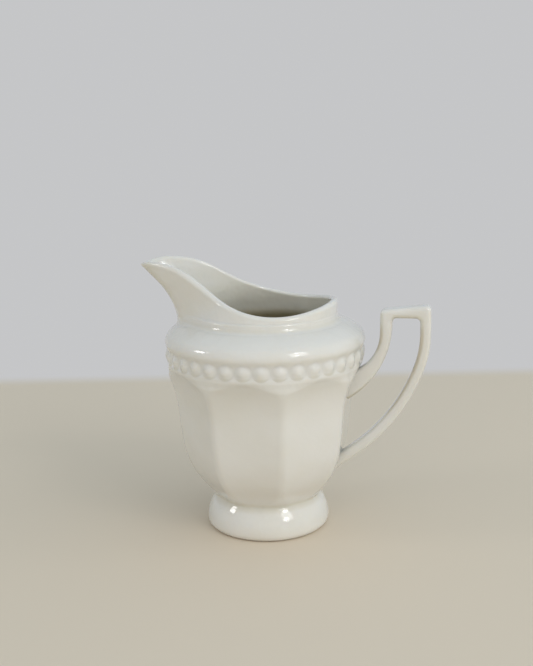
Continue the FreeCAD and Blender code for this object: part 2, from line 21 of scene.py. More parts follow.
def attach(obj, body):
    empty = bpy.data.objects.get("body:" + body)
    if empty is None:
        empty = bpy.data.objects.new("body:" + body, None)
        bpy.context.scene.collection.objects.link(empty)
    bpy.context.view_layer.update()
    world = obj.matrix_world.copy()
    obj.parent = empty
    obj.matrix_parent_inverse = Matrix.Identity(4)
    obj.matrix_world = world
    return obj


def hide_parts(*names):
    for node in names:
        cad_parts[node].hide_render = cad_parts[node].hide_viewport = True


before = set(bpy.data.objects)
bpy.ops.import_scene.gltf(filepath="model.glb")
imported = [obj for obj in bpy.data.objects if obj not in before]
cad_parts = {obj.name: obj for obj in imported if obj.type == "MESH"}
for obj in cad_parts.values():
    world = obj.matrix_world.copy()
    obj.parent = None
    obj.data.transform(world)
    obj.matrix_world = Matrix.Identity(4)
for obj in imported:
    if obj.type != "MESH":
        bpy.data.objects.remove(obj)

MM = 0.001  # a millimetre, in metres
EIGHTH = math.pi / 4  # angle between the middles of two neighbouring panels
COLUMNS = 288  # vertices round a ring, the same number for each panel
MARGIN = 0.05  # a cut drops the spots of an outline that lie nearer to it than this
WELD = 0.002  # vertices nearer to each other than this become one
TINY = 1e-9  # keeps a division by a length from failing
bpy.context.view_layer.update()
log = logging.getLogger("cream_jug")

Station = Callable[[float], Vector]
Spot = tuple[float, float]
Colour = tuple[float, float, float]
Place = tuple[float, float, float]
Feed = bpy.types.NodeSocket | float | tuple[float, ...]
Part = TypeVar("Part")


class Node(Enum):
    """The six pieces of the jug, by their names in the frame."""

    FOOT = "foot"
    BOWL = "bowl"
    SHOULDER = "shoulder"
    BEADS = "bead_border"
    NECK = "neck_spout"
    HANDLE = "handle"


# ---- lines and levels


def mix(start: float, end: float, share: float) -> float:
    """The value a share of the way from start to end."""
    return start + (end - start) * share


def ease(share: float) -> float:
    """A share from 0 to 1 that starts and ends gently."""
    return share * share * (3 - 2 * share)


def bow(bend: float, run: float) -> float:
    """How far an arc of a bend has left its tangent after a run along that tangent."""
    return bend - math.sqrt(max(bend**2 - run**2, 0.0))


@dataclass(frozen=True)
class Course:
    """A value that changes smoothly along a run of stations.

    Attributes:
        stations: Pairs of place and value, in rising order of place.
    """

    stations: tuple[Spot, ...]

    def slope(self, k: int) -> float:
        """The slope at a station, from its neighbours.

        Args:
            k: Number of the station.

        Returns:
            The change of the value with the place.
        """
        low, high = max(k - 1, 0), min(k + 1, len(self.stations) - 1)
        (a, start), (b, end) = self.stations[low], self.stations[high]
        return (end - start) / (b - a)

    def at(self, place: float) -> float:
        """The value at a place.

        Args:
            place: Where on the run, held to the ends of the run.

        Returns:
            The value there.
        """
        first, last = self.stations[0], self.stations[-1]
        if place <= first[0]:
            return first[1]
        if place >= last[0]:
            return last[1]
        k = next(i for i in range(len(self.stations) - 1) if place < self.stations[i + 1][0])
        (a, start), (b, end) = self.stations[k], self.stations[k + 1]
        t, width = (place - a) / (b - a), b - a
        return (
            start * (1 + 2 * t) * (1 - t) ** 2
            + self.slope(k) * width * t * (1 - t) ** 2
            + end * t * t * (3 - 2 * t)
            + self.slope(k + 1) * width * t * t * (t - 1)
        )


class Outline:
    """An outline in the upright plane, drawn from point to point as reach and level.

    Attributes:
        STEP: Length of the short sides that the outline is drawn with.
        TAIL: How many softnesses away a spot still counts in the softening.
        spots: The spots so far.
    """

    STEP = 0.3
    TAIL = 3

    def __init__(self, reach: float, level: float) -> None:
        """Starts the outline at a point."""
        self.spots: list[Spot] = [(reach, level)]

    def line(self, reach: float, level: float) -> "Outline":
        """Draws a straight side to a point.

        Args:
            reach: Reach of its end.
            level: Level of its end.

        Returns:
            The outline itself.
        """
        start = self.spots[-1]
        count = max(1, round(math.dist(start, (reach, level)) / self.STEP))
        for k in range(1, count + 1):
            share = k / count
            self.spots.append((mix(start[0], reach, share), mix(start[1], level, share)))
        return self

    def arc(self, reach: float, level: float, bend: float) -> "Outline":
        """Draws a bent side to a point.

        Args:
            reach: Reach of its end.
            level: Level of its end.
            bend: Its radius, below 0 where it turns right of its way.

        Returns:
            The outline itself.
        """
        start, end = Vector(self.spots[-1]), Vector((reach, level))
        chord = end - start
        side = Vector((-chord.y, chord.x)).normalized() * math.copysign(1, bend)
        centre = (start + end) / 2 + side * math.sqrt(bend**2 - chord.length_squared / 4)
        arm = start - centre
        turn = math.copysign(2 * math.asin(chord.length / 2 / abs(bend)), bend)
        count = max(2, round(abs(turn * bend) / self.STEP))
        for k in range(1, count + 1):
            c, s = math.cos(turn * k / count), math.sin(turn * k / count)
            self.spots.append((centre.x + c * arm.x - s * arm.y, centre.y + s * arm.x + c * arm.y))
        return self

    def through(self, course: Course, start: float, end: float) -> "Outline":
        """Draws a smooth side whose reach follows a course.

        Args:
            course: Level and reach of the side.
            start: Level where it starts.
            end: Level where it ends.

        Returns:
            The outline itself.
        """
        count = max(2, round(abs(end - start) / self.STEP))
        for k in range(1, count + 1):
            level = mix(start, end, k / count)
            self.spots.append((course.at(level), level))
        return self

    def evened(self) -> list[Spot]:
        """The outline in even steps.

        Returns:
            New spots along it, from its first to its last.
        """
        lengths = [0.0]
        for before, after in zip(self.spots, self.spots[1:]):
            lengths.append(lengths[-1] + math.dist(before, after))
        count = round(lengths[-1] / self.STEP)
        even, k = [], 0
        for n in range(count + 1):
            place = lengths[-1] * n / count
            while k < len(lengths) - 2 and lengths[k + 1] < place:
                k += 1
            share = (place - lengths[k]) / max(lengths[k + 1] - lengths[k], TINY)
            even.append(tuple(mix(*pair, share) for pair in zip(self.spots[k], self.spots[k + 1])))
        return even

    def softened(self, softness: float) -> list[Spot]:
        """The outline as a coat of glaze rounds it, inside and outside its corners.

        Args:
            softness: How far the glaze evens the outline out.

        Returns:
            The spots of the softened outline, in even steps.
        """
        even = self.evened()
        spread = round(self.TAIL * softness / self.STEP)
        steps = range(-spread, spread + 1)
        weights = [math.exp(-0.5 * (j * self.STEP / softness) ** 2) for j in steps]
        soft = []
        for n in range(len(even)):
            room = min(spread, n, len(even) - 1 - n)
            used = weights[spread - room : spread + room + 1]
            near = even[n - room : n + room + 1]
            whole = sum(used)
            soft.append(tuple(sum(w * s[i] for w, s in zip(used, near)) / whole for i in (0, 1)))
        return soft


def crossing(spots: list[Spot], level: float) -> Spot:
    """The place where a rising outline reaches a level, or the nearer end of it.

    Args:
        spots: The outline.
        level: The level.

    Returns:
        Reach and level of the place.
    """
    for before, after in zip(spots, spots[1:]):
        if before[1] <= level < after[1]:
            share = (level - before[1]) / (after[1] - before[1])
            return (mix(before[0], after[0], share), level)
    return spots[0] if level < spots[0][1] else spots[-1]


def cut(spots: list[Spot], low: float, high: float) -> list[Spot]:
    """The stretch of a rising outline between two levels, with its ends on them."""
    inner = [spot for spot in spots if low + MARGIN < spot[1] < high - MARGIN]
    return [crossing(spots, low), *inner, crossing(spots, high)]


def octagon_reach(turn: float, flat: float, corner: float) -> float:
    """Distance from the axis to an octagon with rounded corners and a flat square to +X.

    Args:
        turn: Angle round the axis.
        flat: Axis to the middle of a flat.
        corner: Rounding of the corners, equal to flat for a circle.

    Returns:
        The distance at that angle.
    """
    side = abs((turn + EIGHTH / 2) % EIGHTH - EIGHTH / 2)
    if flat * math.tan(side) <= (flat - corner) * math.tan(EIGHTH / 2):
        return flat / math.cos(side)
    apex = (flat - corner) / math.cos(EIGHTH / 2)
    lean = EIGHTH / 2 - side
    return apex * math.cos(lean) + math.sqrt(corner**2 - (apex * math.sin(lean)) ** 2)


def circle_reach(turn: float, centre: float, radius: float) -> float | None:
    """Distance from the axis to the far side of a circle whose centre is on the X axis.

    Args:
        turn: Angle round the axis.
        centre: Place of the centre along +X.
        radius: Radius of the circle.

    Returns:
        The distance at that angle, or None where the circle isn't met.
    """
    room = radius**2 - (centre * math.sin(turn)) ** 2
    return centre * math.cos(turn) + math.sqrt(room) if room >= 0 else None


def around(turn: float, reach: float, level: float) -> Vector:
    """The point at an angle, a reach and a level."""
    return Vector((reach * math.cos(turn), reach * math.sin(turn), level))


def round_station(reach: float, level: float) -> Station:
    """A circle about the axis."""
    return lambda turn: around(turn, reach, level)


def panel_station(reach: float, level: float, roundness: float) -> Station:
    """An octagon about the axis, its corners rounded by a share of its reach."""
    corner = reach * min(roundness, 1.0)
    return lambda turn: around(turn, octagon_reach(turn, reach, corner), level)


# ---- meshes


def of_kind(parts: Iterable[object], kind: type[Part]) -> list[Part]:
    """Those of an operator's new parts that are of one kind."""
    return [part for part in parts if isinstance(part, kind)]


class Shell:
    """A closed wall, grown ring by ring from a circle with the extrude operator.

    Attributes:
        bm: The mesh.
        turn: The layer with each vertex's angle round the axis.
        first: Vertices of the first ring.
        begin: Station of the first ring.
        rim: Edges of the last ring.
    """

    def __init__(self, station: Station) -> None:
        """Starts the wall with a ring.

        Args:
            station: Where the ring lies.
        """
        self.bm = bmesh.new()
        self.turn = self.bm.verts.layers.float.new("turn")
        bmesh.ops.create_circle(self.bm, cap_ends=False, segments=COLUMNS, radius=1.0)
        for vert in self.bm.verts:
            vert[self.turn] = math.atan2(vert.co.y, vert.co.x)
        self.first = list(self.bm.verts)
        self.begin = station
        self.rim = list(self.bm.edges)
        self.place(self.first, station)

    def place(self, ring: Iterable[BMVert], station: Station) -> None:
        """Moves a ring's vertices to a station."""
        for vert in ring:
            vert.co = station(vert[self.turn])

    def grow(self, station: Station, seen: bool = True) -> None:
        """Extrudes the last ring to the next station.

        Args:
            station: Where the new ring lies.
            seen: Whether the new wall shows, and so is shaded smooth.
        """
        grown = bmesh.ops.extrude_edge_only(self.bm, edges=self.rim)["geom"]
        self.rim = of_kind(grown, BMEdge)
        self.place(of_kind(grown, BMVert), station)
        for face in of_kind(grown, BMFace):
            face.smooth = seen

    def follow(self, stations: Iterable[Station], seen: bool = True) -> None:
        """Grows the wall from station to station.

        Args:
            stations: Where the new rings lie.
            seen: Whether the wall up to the first of them shows. The rest of it does.
        """
        for k, station in enumerate(stations):
            self.grow(station, seen or k > 0)

    def join(self) -> BMesh:
        """Leads the wall back to where it began, out of sight, and returns the mesh."""
        self.grow(self.begin, seen=False)
        return self.bm

    def poles(self, first: Vector, last: Vector) -> BMesh:
        """Draws both ends of the wall together.

        Args:
            first: The pole that the first ring becomes.
            last: The pole that the last ring becomes.

        Returns:
            The mesh.
        """
        ring = {vert for edge in self.rim for vert in edge.verts}
        for verts, pole in ((self.first, first), (list(ring), last)):
            bmesh.ops.pointmerge(self.bm, verts=verts, merge_co=pole)
        return self.bm


# ---- the glaze


class Wiring:
    """Adds nodes to a node tree and feeds them.

    Attributes:
        tree: The node tree of a group, a material or the world.
    """

    def __init__(self, tree: bpy.types.NodeTree) -> None:
        """Takes up a tree."""
        self.tree = tree

    def feed(self, node: bpy.types.Node, feeds: dict[str | int, Feed]) -> None:
        """Feeds a node's inputs.

        Args:
            node: The node.
            feeds: A socket to link or a value to set, by the input's name or number.
        """
        for label, value in feeds.items():
            if isinstance(value, bpy.types.NodeSocket):
                self.tree.links.new(value, node.inputs[label])
            else:
                node.inputs[label].default_value = value

    def node(
        self, kind: str, feeds: dict[str | int, Feed] | None = None, **settings: object
    ) -> bpy.types.Node:
        """Adds a node.

        Args:
            kind: Its type, without the beginning that all shader nodes share.
            feeds: What its inputs are fed.
            **settings: Its own settings, such as an operation.

        Returns:
            The new node.
        """
        made = self.tree.nodes.new("ShaderNode" + kind)
        for name, value in settings.items():
            setattr(made, name, value)
        self.feed(made, feeds or {})
        return made

    def math(self, operation: str, *feeds: Feed) -> bpy.types.NodeSocket:
        """Adds a step of arithmetic and returns its result."""
        return self.node("Math", dict(enumerate(feeds)), operation=operation).outputs[0]

    def dot(self, one: Feed, other: Feed) -> bpy.types.NodeSocket:
        """Adds the dot product of two vectors and returns its value."""
        feeds = {0: one, 1: other}
        return self.node("VectorMath", feeds, operation="DOT_PRODUCT").outputs["Value"]

    def blend(self, share: Feed, one: Feed, other: Feed) -> bpy.types.NodeSocket:
        """Adds a mix of two colours by the other's share and returns it."""
        feeds = {"Factor": share, "A": one, "B": other}
        return self.node("Mix", feeds, data_type="RGBA").outputs["Result"]

    def noise(self, place: Feed, scale: Feed, detail: float) -> bpy.types.NodeSocket:
        """Adds soft noise and returns its value."""
        feeds = {"Vector": place, "Scale": scale, "Detail": detail}
        return self.node("TexNoise", feeds).outputs["Fac"]

    def ramp(
        self, value: Feed, low: Feed, high: Feed, soft: bool = False, ends: Spot = (0.0, 1.0)
    ) -> bpy.types.NodeSocket:
        """Adds a mask that changes while a value goes from low to high.

        Args:
            value: The value.
            low: Where the change starts.
            high: Where it ends.
            soft: Whether it starts and ends gently.
            ends: The mask before the change and after it.

        Returns:
            The mask.
        """
        feeds = {"From Min": low, "From Max": high, "To Min": ends[0], "To Max": ends[1]}
        shape = "SMOOTHSTEP" if soft else "LINEAR"
        made = self.node("MapRange", feeds | {"Value": value}, interpolation_type=shape)
        return made.outputs["Result"]

    def seen(self) -> bpy.types.NodeSocket:
        """Adds a mask of the rays that show the background.

        Returns:
            The mask: 1 for rays that come direct, mirrored or through glass.
        """
        rays = self.node("LightPath").outputs
        direct = self.math("MAXIMUM", rays["Is Camera Ray"], rays["Is Glossy Ray"])
        return self.math("MAXIMUM", direct, rays["Is Transmission Ray"])

    def cover(
        self, share: Feed, under: bpy.types.NodeSocket, over: bpy.types.NodeSocket, output: str
    ) -> None:
        """Lays one shader over another and puts both out.

        Args:
            share: How much the upper one covers.
            under: The lower shader.
            over: The upper shader.
            output: Name of the output node.
        """
        both = self.node("MixShader", {"Fac": share, 1: under, 2: over})
        self.feed(self.tree.nodes[output], {"Surface": both.outputs["Shader"]})


class Group(Wiring):
    """A node group with named inputs and outputs.

    Attributes:
        way_in: The node that its inputs come from.
        way_out: The node that its outputs go to.
    """

    def __init__(
        self, name: str, inputs: dict[str, str], outputs: dict[str, str], values: dict[str, float]
    ) -> None:
        """Starts the group.

        Args:
            name: The group's name.
            inputs: Socket type by name.
            outputs: Socket type by name.
            values: Starting value by name, for the inputs that materials leave alone.
        """
        super().__init__(bpy.data.node_groups.new(name, "ShaderNodeTree"))
        for side, sockets in (("INPUT", inputs), ("OUTPUT", outputs)):
            for label, kind in sockets.items():
                made = self.tree.interface.new_socket(
                    label, in_out=side, socket_type="NodeSocket" + kind
                )
                if side == "INPUT" and label in values:
                    made.default_value = values[label]
        self.way_in = self.tree.nodes.new("NodeGroupInput")
        self.way_out = self.tree.nodes.new("NodeGroupOutput")

    def given(self, label: str) -> bpy.types.NodeSocket:
        """One of the group's inputs."""
        return self.way_in.outputs[label]


class Effects:
    """Shared node groups of the glaze, each built once.

    Attributes:
        CLOUD: Detail of the clouds' noise, and the values where they start and are full.
        WELL: Level of the top of the well's painted shade and half its soft edge, in metres.
        INWARD: Place times normal at which a side surely faces the middle and takes painted shade,
            in metres.
        RIPPLE: Detail of the noise in the waves and the peel.
        UNEVEN: How much the peel adds to the roughness.
        tone: Its colour, with painted shade on the sides that face the middle.
        skin: Its height and its roughness.
        specks: A mask of its specks.
    """

    CLOUD = (3.0, 0.35, 0.75)
    WELL = (0.074, 0.0025)
    INWARD = -0.012
    RIPPLE = 2.0
    UNEVEN = 0.08

    def __init__(self) -> None:
        """Builds the groups."""
        self.tone = self.make_tone_and_shade()
        self.skin = self.make_skin()
        self.specks = self.make_specks()

    def make_tone_and_shade(self) -> bpy.types.NodeTree:
        """Body colour, deeper where the glaze is thick and, as pooled glaze and painted shade,
        along a crease, with painted shade on the sides that face the middle of the jug, darker
        still below the neck.

        Returns:
            The node group.
        """
        colours = dict.fromkeys(("Body", "Deep", "Inner", "Shaded Well"), "Color")
        numbers = ("Cloud Scale", "Cloud Share", "Pool And Shade Level", "Pool And Shade Reach", "Pool And Shade Share")
        detail, thin, full = self.CLOUD
        top, edge = self.WELL
        group = Group(
            "glaze_tone_and_shade",
            {"Place": "Vector", **colours, **dict.fromkeys((*numbers, "Well Level"), "Float")},
            {"Color": "Color"},
            {"Well Level": top},
        )
        given = group.given
        level = group.node("SeparateXYZ", {"Vector": given("Place")}).outputs["Z"]
        noise = group.noise(given("Place"), given("Cloud Scale"), detail)
        cloud = group.math("MULTIPLY", group.ramp(noise, thin, full), given("Cloud Share"))
        # Along the pool level the deeper tint, carried on into thick, is both pooled glaze and
        # painted shade in the crease.
        away = group.math("ABSOLUTE", group.math("SUBTRACT", level, given("Pool And Shade Level")))
        near = group.ramp(away, 0.0, given("Pool And Shade Reach"), soft=True, ends=(1.0, 0.0))
        pool_and_shade = group.math("MULTIPLY", near, given("Pool And Shade Share"))
        thick = group.math("MAXIMUM", cloud, pool_and_shade)
        outside = group.blend(thick, given("Body"), given("Deep"))
        # Painted shade: sides that face the middle of the jug take the darker Inner colour, and
        # below the neck the darker still Well colour.
        depth = group.math("SUBTRACT", given("Well Level"), level)
        sunk = group.ramp(depth, -edge, edge, soft=True)
        inside = group.blend(sunk, given("Inner"), given("Shaded Well"))
        facing = group.dot(given("Place"), group.node("NewGeometry").outputs["Normal"])
        inward = group.ramp(facing, 0.0, self.INWARD)
        group.feed(group.way_out, {"Color": group.blend(inward, outside, inside)})
        return group.tree

    def make_skin(self) -> bpy.types.NodeTree:
        """The slow waves and fine peel of a fired glaze, as a height, and its uneven gloss.

        Returns:
            The node group.
        """
        values = {"Wave Scale": 150.0, "Peel Scale": 600.0, "Peel Share": 0.15}
        group = Group(
            "glaze_skin",
            {"Place": "Vector", "Roughness": "Float", **dict.fromkeys(values, "Float")},
            {"Height": "Float", "Roughness": "Float"},
            values,
        )
        given = group.given
        waves = group.noise(given("Place"), given("Wave Scale"), self.RIPPLE)
        peel = group.noise(given("Place"), given("Peel Scale"), self.RIPPLE)
        height = group.math("MULTIPLY_ADD", peel, given("Peel Share"), waves)
        gloss = group.math("MULTIPLY_ADD", peel, self.UNEVEN, given("Roughness"))
        group.feed(group.way_out, {"Height": height, "Roughness": gloss})
        return group.tree

    def make_specks(self) -> bpy.types.NodeTree:
        """A few tiny kiln specks, as a mask.

        Returns:
            The node group.
        """
        values = {"Scale": 110.0, "Size": 0.03, "Rarity": 0.94}
        group = Group(
            "kiln_specks",
            {"Place": "Vector", **dict.fromkeys(values, "Float")},
            {"Mask": "Float"},
            values,
        )
        given = group.given
        cells = group.node("TexVoronoi", {"Vector": given("Place"), "Scale": given("Scale")})
        small = group.math("LESS_THAN", cells.outputs["Distance"], given("Size"))
        chance = group.node("SeparateColor", {"Color": cells.outputs["Color"]}).outputs["Red"]
        rare = group.math("GREATER_THAN", chance, given("Rarity"))
        group.feed(group.way_out, {"Mask": group.math("MULTIPLY", small, rare)})
        return group.tree


@dataclass(frozen=True)
class Glaze:
    """A clear, slightly warm glaze over an ivory porcelain body.

    Attributes:
        body: Linear colour where the glaze is thin.
        deep: Linear colour where it has gathered, which also stands for painted shade along a
            crease.
        inner: Linear colour of the sides that face the middle of the jug, darkened as painted
            shade.
        well: Linear colour of those sides below the neck, darker still as painted shade.
        speck: Linear colour of the kiln specks.
        cloud_scale: Scale of the soft clouds of tint.
        cloud_share: How strongly they show.
        pool_and_shade_level: Level of a crease that glaze gathers along and that takes painted
            shade, in metres.
        pool_and_shade_reach: How far above and below it the deeper tint reaches.
        pool_and_shade_share: How strongly that shows.
        wave_depth: Depth of the glaze's waves, in metres.
        roughness: Roughness of the glaze at its glossiest.
        refraction: Index of refraction.
        glow: Share of the light that goes under the surface.
        glow_tint: How far its red, green and blue go.
        glow_depth: Scale of that, in metres.
        coat: Weight of the clear top coat.
        coat_roughness: Its roughness.
    """

    body: Colour = (0.70, 0.685, 0.64)
    deep: Colour = (0.60, 0.57, 0.47)
    # inner and well are painted shade of the sides that face the middle, darker below the neck
    inner: Colour = (0.645, 0.625, 0.545)
    well: Colour = (0.43, 0.37, 0.23)
    speck: Colour = (0.25, 0.19, 0.12)
    cloud_scale: float = 38.0
    cloud_share: float = 0.35
    pool_and_shade_level: float = 0.0
    pool_and_shade_reach: float = 0.002
    pool_and_shade_share: float = 0.0
    wave_depth: float = 0.0003
    roughness: float = 0.08
    refraction: float = 1.5
    glow: float = 0.12
    glow_tint: Colour = (1.0, 0.75, 0.5)
    glow_depth: float = 0.0015
    coat: float = 0.9
    coat_roughness: float = 0.03

    def material(self, name: str, effects: Effects) -> bpy.types.Material:
        """Builds the material.

        Args:
            name: The material's name.
            effects: The shared node groups.

        Returns:
            The new material.
        """
        made = bpy.data.materials.new(name)
        made.use_nodes = True
        wires = Wiring(made.node_tree)
        place = wires.node("TexCoord").outputs["Object"]
        tint = {
            "Place": place,
            "Body": (*self.body, 1),
            "Deep": (*self.deep, 1),
            # Inner and Well are painted shade on the sides that face the middle of the jug.
            "Inner": (*self.inner, 1),
            "Shaded Well": (*self.well, 1),
            "Cloud Scale": self.cloud_scale,
            "Cloud Share": self.cloud_share,
            "Pool And Shade Level": self.pool_and_shade_level,
            "Pool And Shade Reach": self.pool_and_shade_reach,
            "Pool And Shade Share": self.pool_and_shade_share,
        }
        tone = wires.node("Group", tint, node_tree=effects.tone)
        gloss = {"Place": place, "Roughness": self.roughness}
        skin = wires.node("Group", gloss, node_tree=effects.skin)
        specks = wires.node("Group", {"Place": place}, node_tree=effects.specks)
        waves = {"Strength": 1.0, "Distance": self.wave_depth, "Height": skin.outputs["Height"]}
        speckled = (*self.speck, 1)
        surface = {
            "Base Color": wires.blend(specks.outputs["Mask"], tone.outputs["Color"], speckled),
            "Roughness": skin.outputs["Roughness"],
            "Normal": wires.node("Bump", waves).outputs["Normal"],
            "IOR": self.refraction,
            "Subsurface Weight": self.glow,
            "Subsurface Radius": self.glow_tint,
            "Subsurface Scale": self.glow_depth,
            "Coat Weight": self.coat,
            "Coat Roughness": self.coat_roughness,
        }
        wires.feed(made.node_tree.nodes["Principled BSDF"], surface)
        return made


class Piece(ABC):
    """One glazed piece of the jug.

    Attributes:
        node: The CAD node that it stands for.
        name: Its own name.
        finish: Its glaze.
    """

    node: ClassVar[Node]
    name: ClassVar[str]
    finish: Glaze

    @abstractmethod
    def mesh(self) -> BMesh:
        """Builds its mesh in millimetres."""

    def build(self, effects: Effects) -> bpy.types.Object:
        """Turns the mesh into an object with its glaze, riding on the frame.

        Args:
            effects: The shared node groups.

        Returns:
            The new object, in metres.
        """
        bm, glaze = self.mesh(), self.node.value + "_glaze"
        bmesh.ops.remove_doubles(bm, verts=bm.verts, dist=WELD)
        bmesh.ops.recalc_face_normals(bm, faces=bm.faces)
        for edge in bm.edges:
            edge.smooth = len({face.smooth for face in edge.link_faces}) == 1
        bmesh.ops.scale(bm, vec=(MM, MM, MM), verts=bm.verts)
        mesh = bpy.data.meshes.new(self.name)
        bm.to_mesh(mesh)
        bm.free()
        mesh.materials.append(self.finish.material(glaze, effects))
        piece = bpy.data.objects.new(self.name, mesh)
        bpy.context.scene.collection.objects.link(piece)
        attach(piece, "root")
        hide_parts(self.node.value)
        log.info("%s: %d faces", self.name, len(mesh.polygons))
        return piece


# ---- the body: foot, bowl and shoulder share one soft outline


@dataclass(frozen=True)
class BodyLine:
    """The outside of the foot, the bowl and the shoulder as one outline.

    Attributes:
        softness: How far the glaze evens the outline out.
        stand_inner: Inner radius of the ring that the jug stands on.
        stand_outer: Its outer radius.
        stand_bend: Curve from it to the widest place of the foot.
        foot_belly: Reach and level of that widest place.
        foot_bend: Curve of the foot above it.
        foot_top: Reach and level of the foot's joint with the bowl.
        flats: Level and reach of the eight panels.
        shoulder_level: Level of the bowl's joint with the shoulder.
        band: Reach of the band under the beads.
        band_top: Level where the band steps in to the ground of the beads.
        band_step: How far below and above that level the step lies.
        ground: Reach of the ground of the beads.
        ground_top: Level where the ground turns out to the rolled edge.
        roll: Reach and level of the rolled edge.
        roll_bend: Curve from it to the dome.
        crest: Reach and level where the dome begins.
        dome_top: Reach and level of the dome at the neck.
        dome_bend: Curve of the dome.
        dome_margin: How far below the crest the stretch with the dome starts.
        roundness: Corner rounding as a share of the reach, by level.
    """

    softness: float = 0.7
    stand_inner: float = 18.4
    stand_outer: float = 21.2
    stand_bend: float = 3.0
    foot_belly: Spot = (22.4, 2.4)
    foot_bend: float = 12.8
    foot_top: Spot = (18.7, 11.4)
    flats: Course = Course(
        (
            (11.4, 18.3), (16.0, 21.7), (22.0, 25.4), (29.0, 27.8), (38.0, 29.1), (47.0, 29.9),
            (52.0, 30.9), (56.0, 32.2), (59.0, 33.7), (61.2, 35.0),
        )
    )
    shoulder_level: float = 59.4
    band: float = 35.3
    band_top: float = 62.0
    band_step: Spot = (0.4, 0.6)
    ground: float = 34.7
    ground_top: float = 66.4
    roll: Spot = (35.9, 68.6)
    roll_bend: float = 5.34
    crest: Spot = (34.5, 72.2)
    dome_top: Spot = (25.6, 76.4)
    dome_bend: float = 26.0
    dome_margin: float = 2.0
    roundness: Course = Course(
        (
            (8.0, 1.0), (11.4, 0.8), (14.5, 0.42), (18.0, 0.19), (24.0, 0.15), (38.0, 0.13),
            (54.0, 0.12), (56.0, 0.18), (57.6, 0.32), (59.4, 0.68), (61.4, 1.0),
        )
    )

    @cached_property
    def spots(self) -> list[Spot]:
        """The softened outline.

        Returns:
            Its spots, from the inside of the standing ring to the neck.
        """
        below, above = self.band_step
        line = Outline(self.stand_inner, 0.0).line(self.stand_outer, 0.0)
        line.arc(*self.foot_belly, self.stand_bend).arc(*self.foot_top, self.foot_bend)
        line.through(self.flats, self.foot_top[1], self.flats.stations[-1][0])
        line.line(self.band, self.band_top - below).line(self.ground, self.band_top + above)
        line.line(self.ground, self.ground_top).line(*self.roll)
        line.arc(*self.crest, self.roll_bend).arc(*self.dome_top, self.dome_bend)
        return line.softened(self.softness)

    @cached_property
    def dome(self) -> list[Spot]:
        """The stretch of the softened outline that holds the dome, from a little below it."""
        return [spot for spot in self.spots if spot[1] > self.crest[1] - self.dome_margin]

    def stations(self, spots: list[Spot]) -> list[Station]:
        """A ring for each spot, round or eight-sided by its level."""
        return [panel_station(reach, level, self.roundness.at(level)) for reach, level in spots]

    def dome_level(self, reach: float) -> float:
        """Level of the dome's surface on the softened outline.

        Args:
            reach: Distance from the axis.

        Returns:
            The level there, or the dome's top where the distance is off the dome.
        """
        for after, before in zip(self.dome, self.dome[1:]):
            if before[0] <= reach <= after[0]:
                share = (reach - before[0]) / max(after[0] - before[0], TINY)
                return mix(before[1], after[1], share)
        return self.dome[-1][1]


@dataclass
class Pedestal(Piece):
    """The domed foot on its flat standing ring, hollow underneath.

    Attributes:
        line: The jug's outline.
        hollow_reach: Inner reach at the joint with the bowl.
        hollow_bend: Curve of the hollow.
        finish: Its glaze.
    """

    node = Node.FOOT
    name = "pedestal_foot"
    line: BodyLine
    hollow_reach: float = 15.4
    hollow_bend: float = 14.0
    # A deeper tint at the joint with the bowl, as pooled glaze and painted shade in the crease.
    finish: Glaze = Glaze(
        pool_and_shade_level=0.0112, pool_and_shade_reach=0.0022, pool_and_shade_share=0.8, wave_depth=0.00024
    )

    def mesh(self) -> BMesh:
        """Turns the foot, outside and then inside.

        Returns:
            The mesh.
        """
        joint = self.line.foot_top[1]
        outside = [spot for spot in self.line.spots if spot[1] < joint]
        first, *rest = self.line.stations([*outside, crossing(self.line.spots, joint)])
        hollow = Outline(self.hollow_reach, joint)
        hollow.arc(self.line.stand_inner, 0.0, -self.hollow_bend)
        shell = Shell(first)
        shell.follow(rest)
        shell.follow([round_station(*spot) for spot in hollow.spots[:-1]], seen=False)
        shell.grow(first)
        return shell.bm


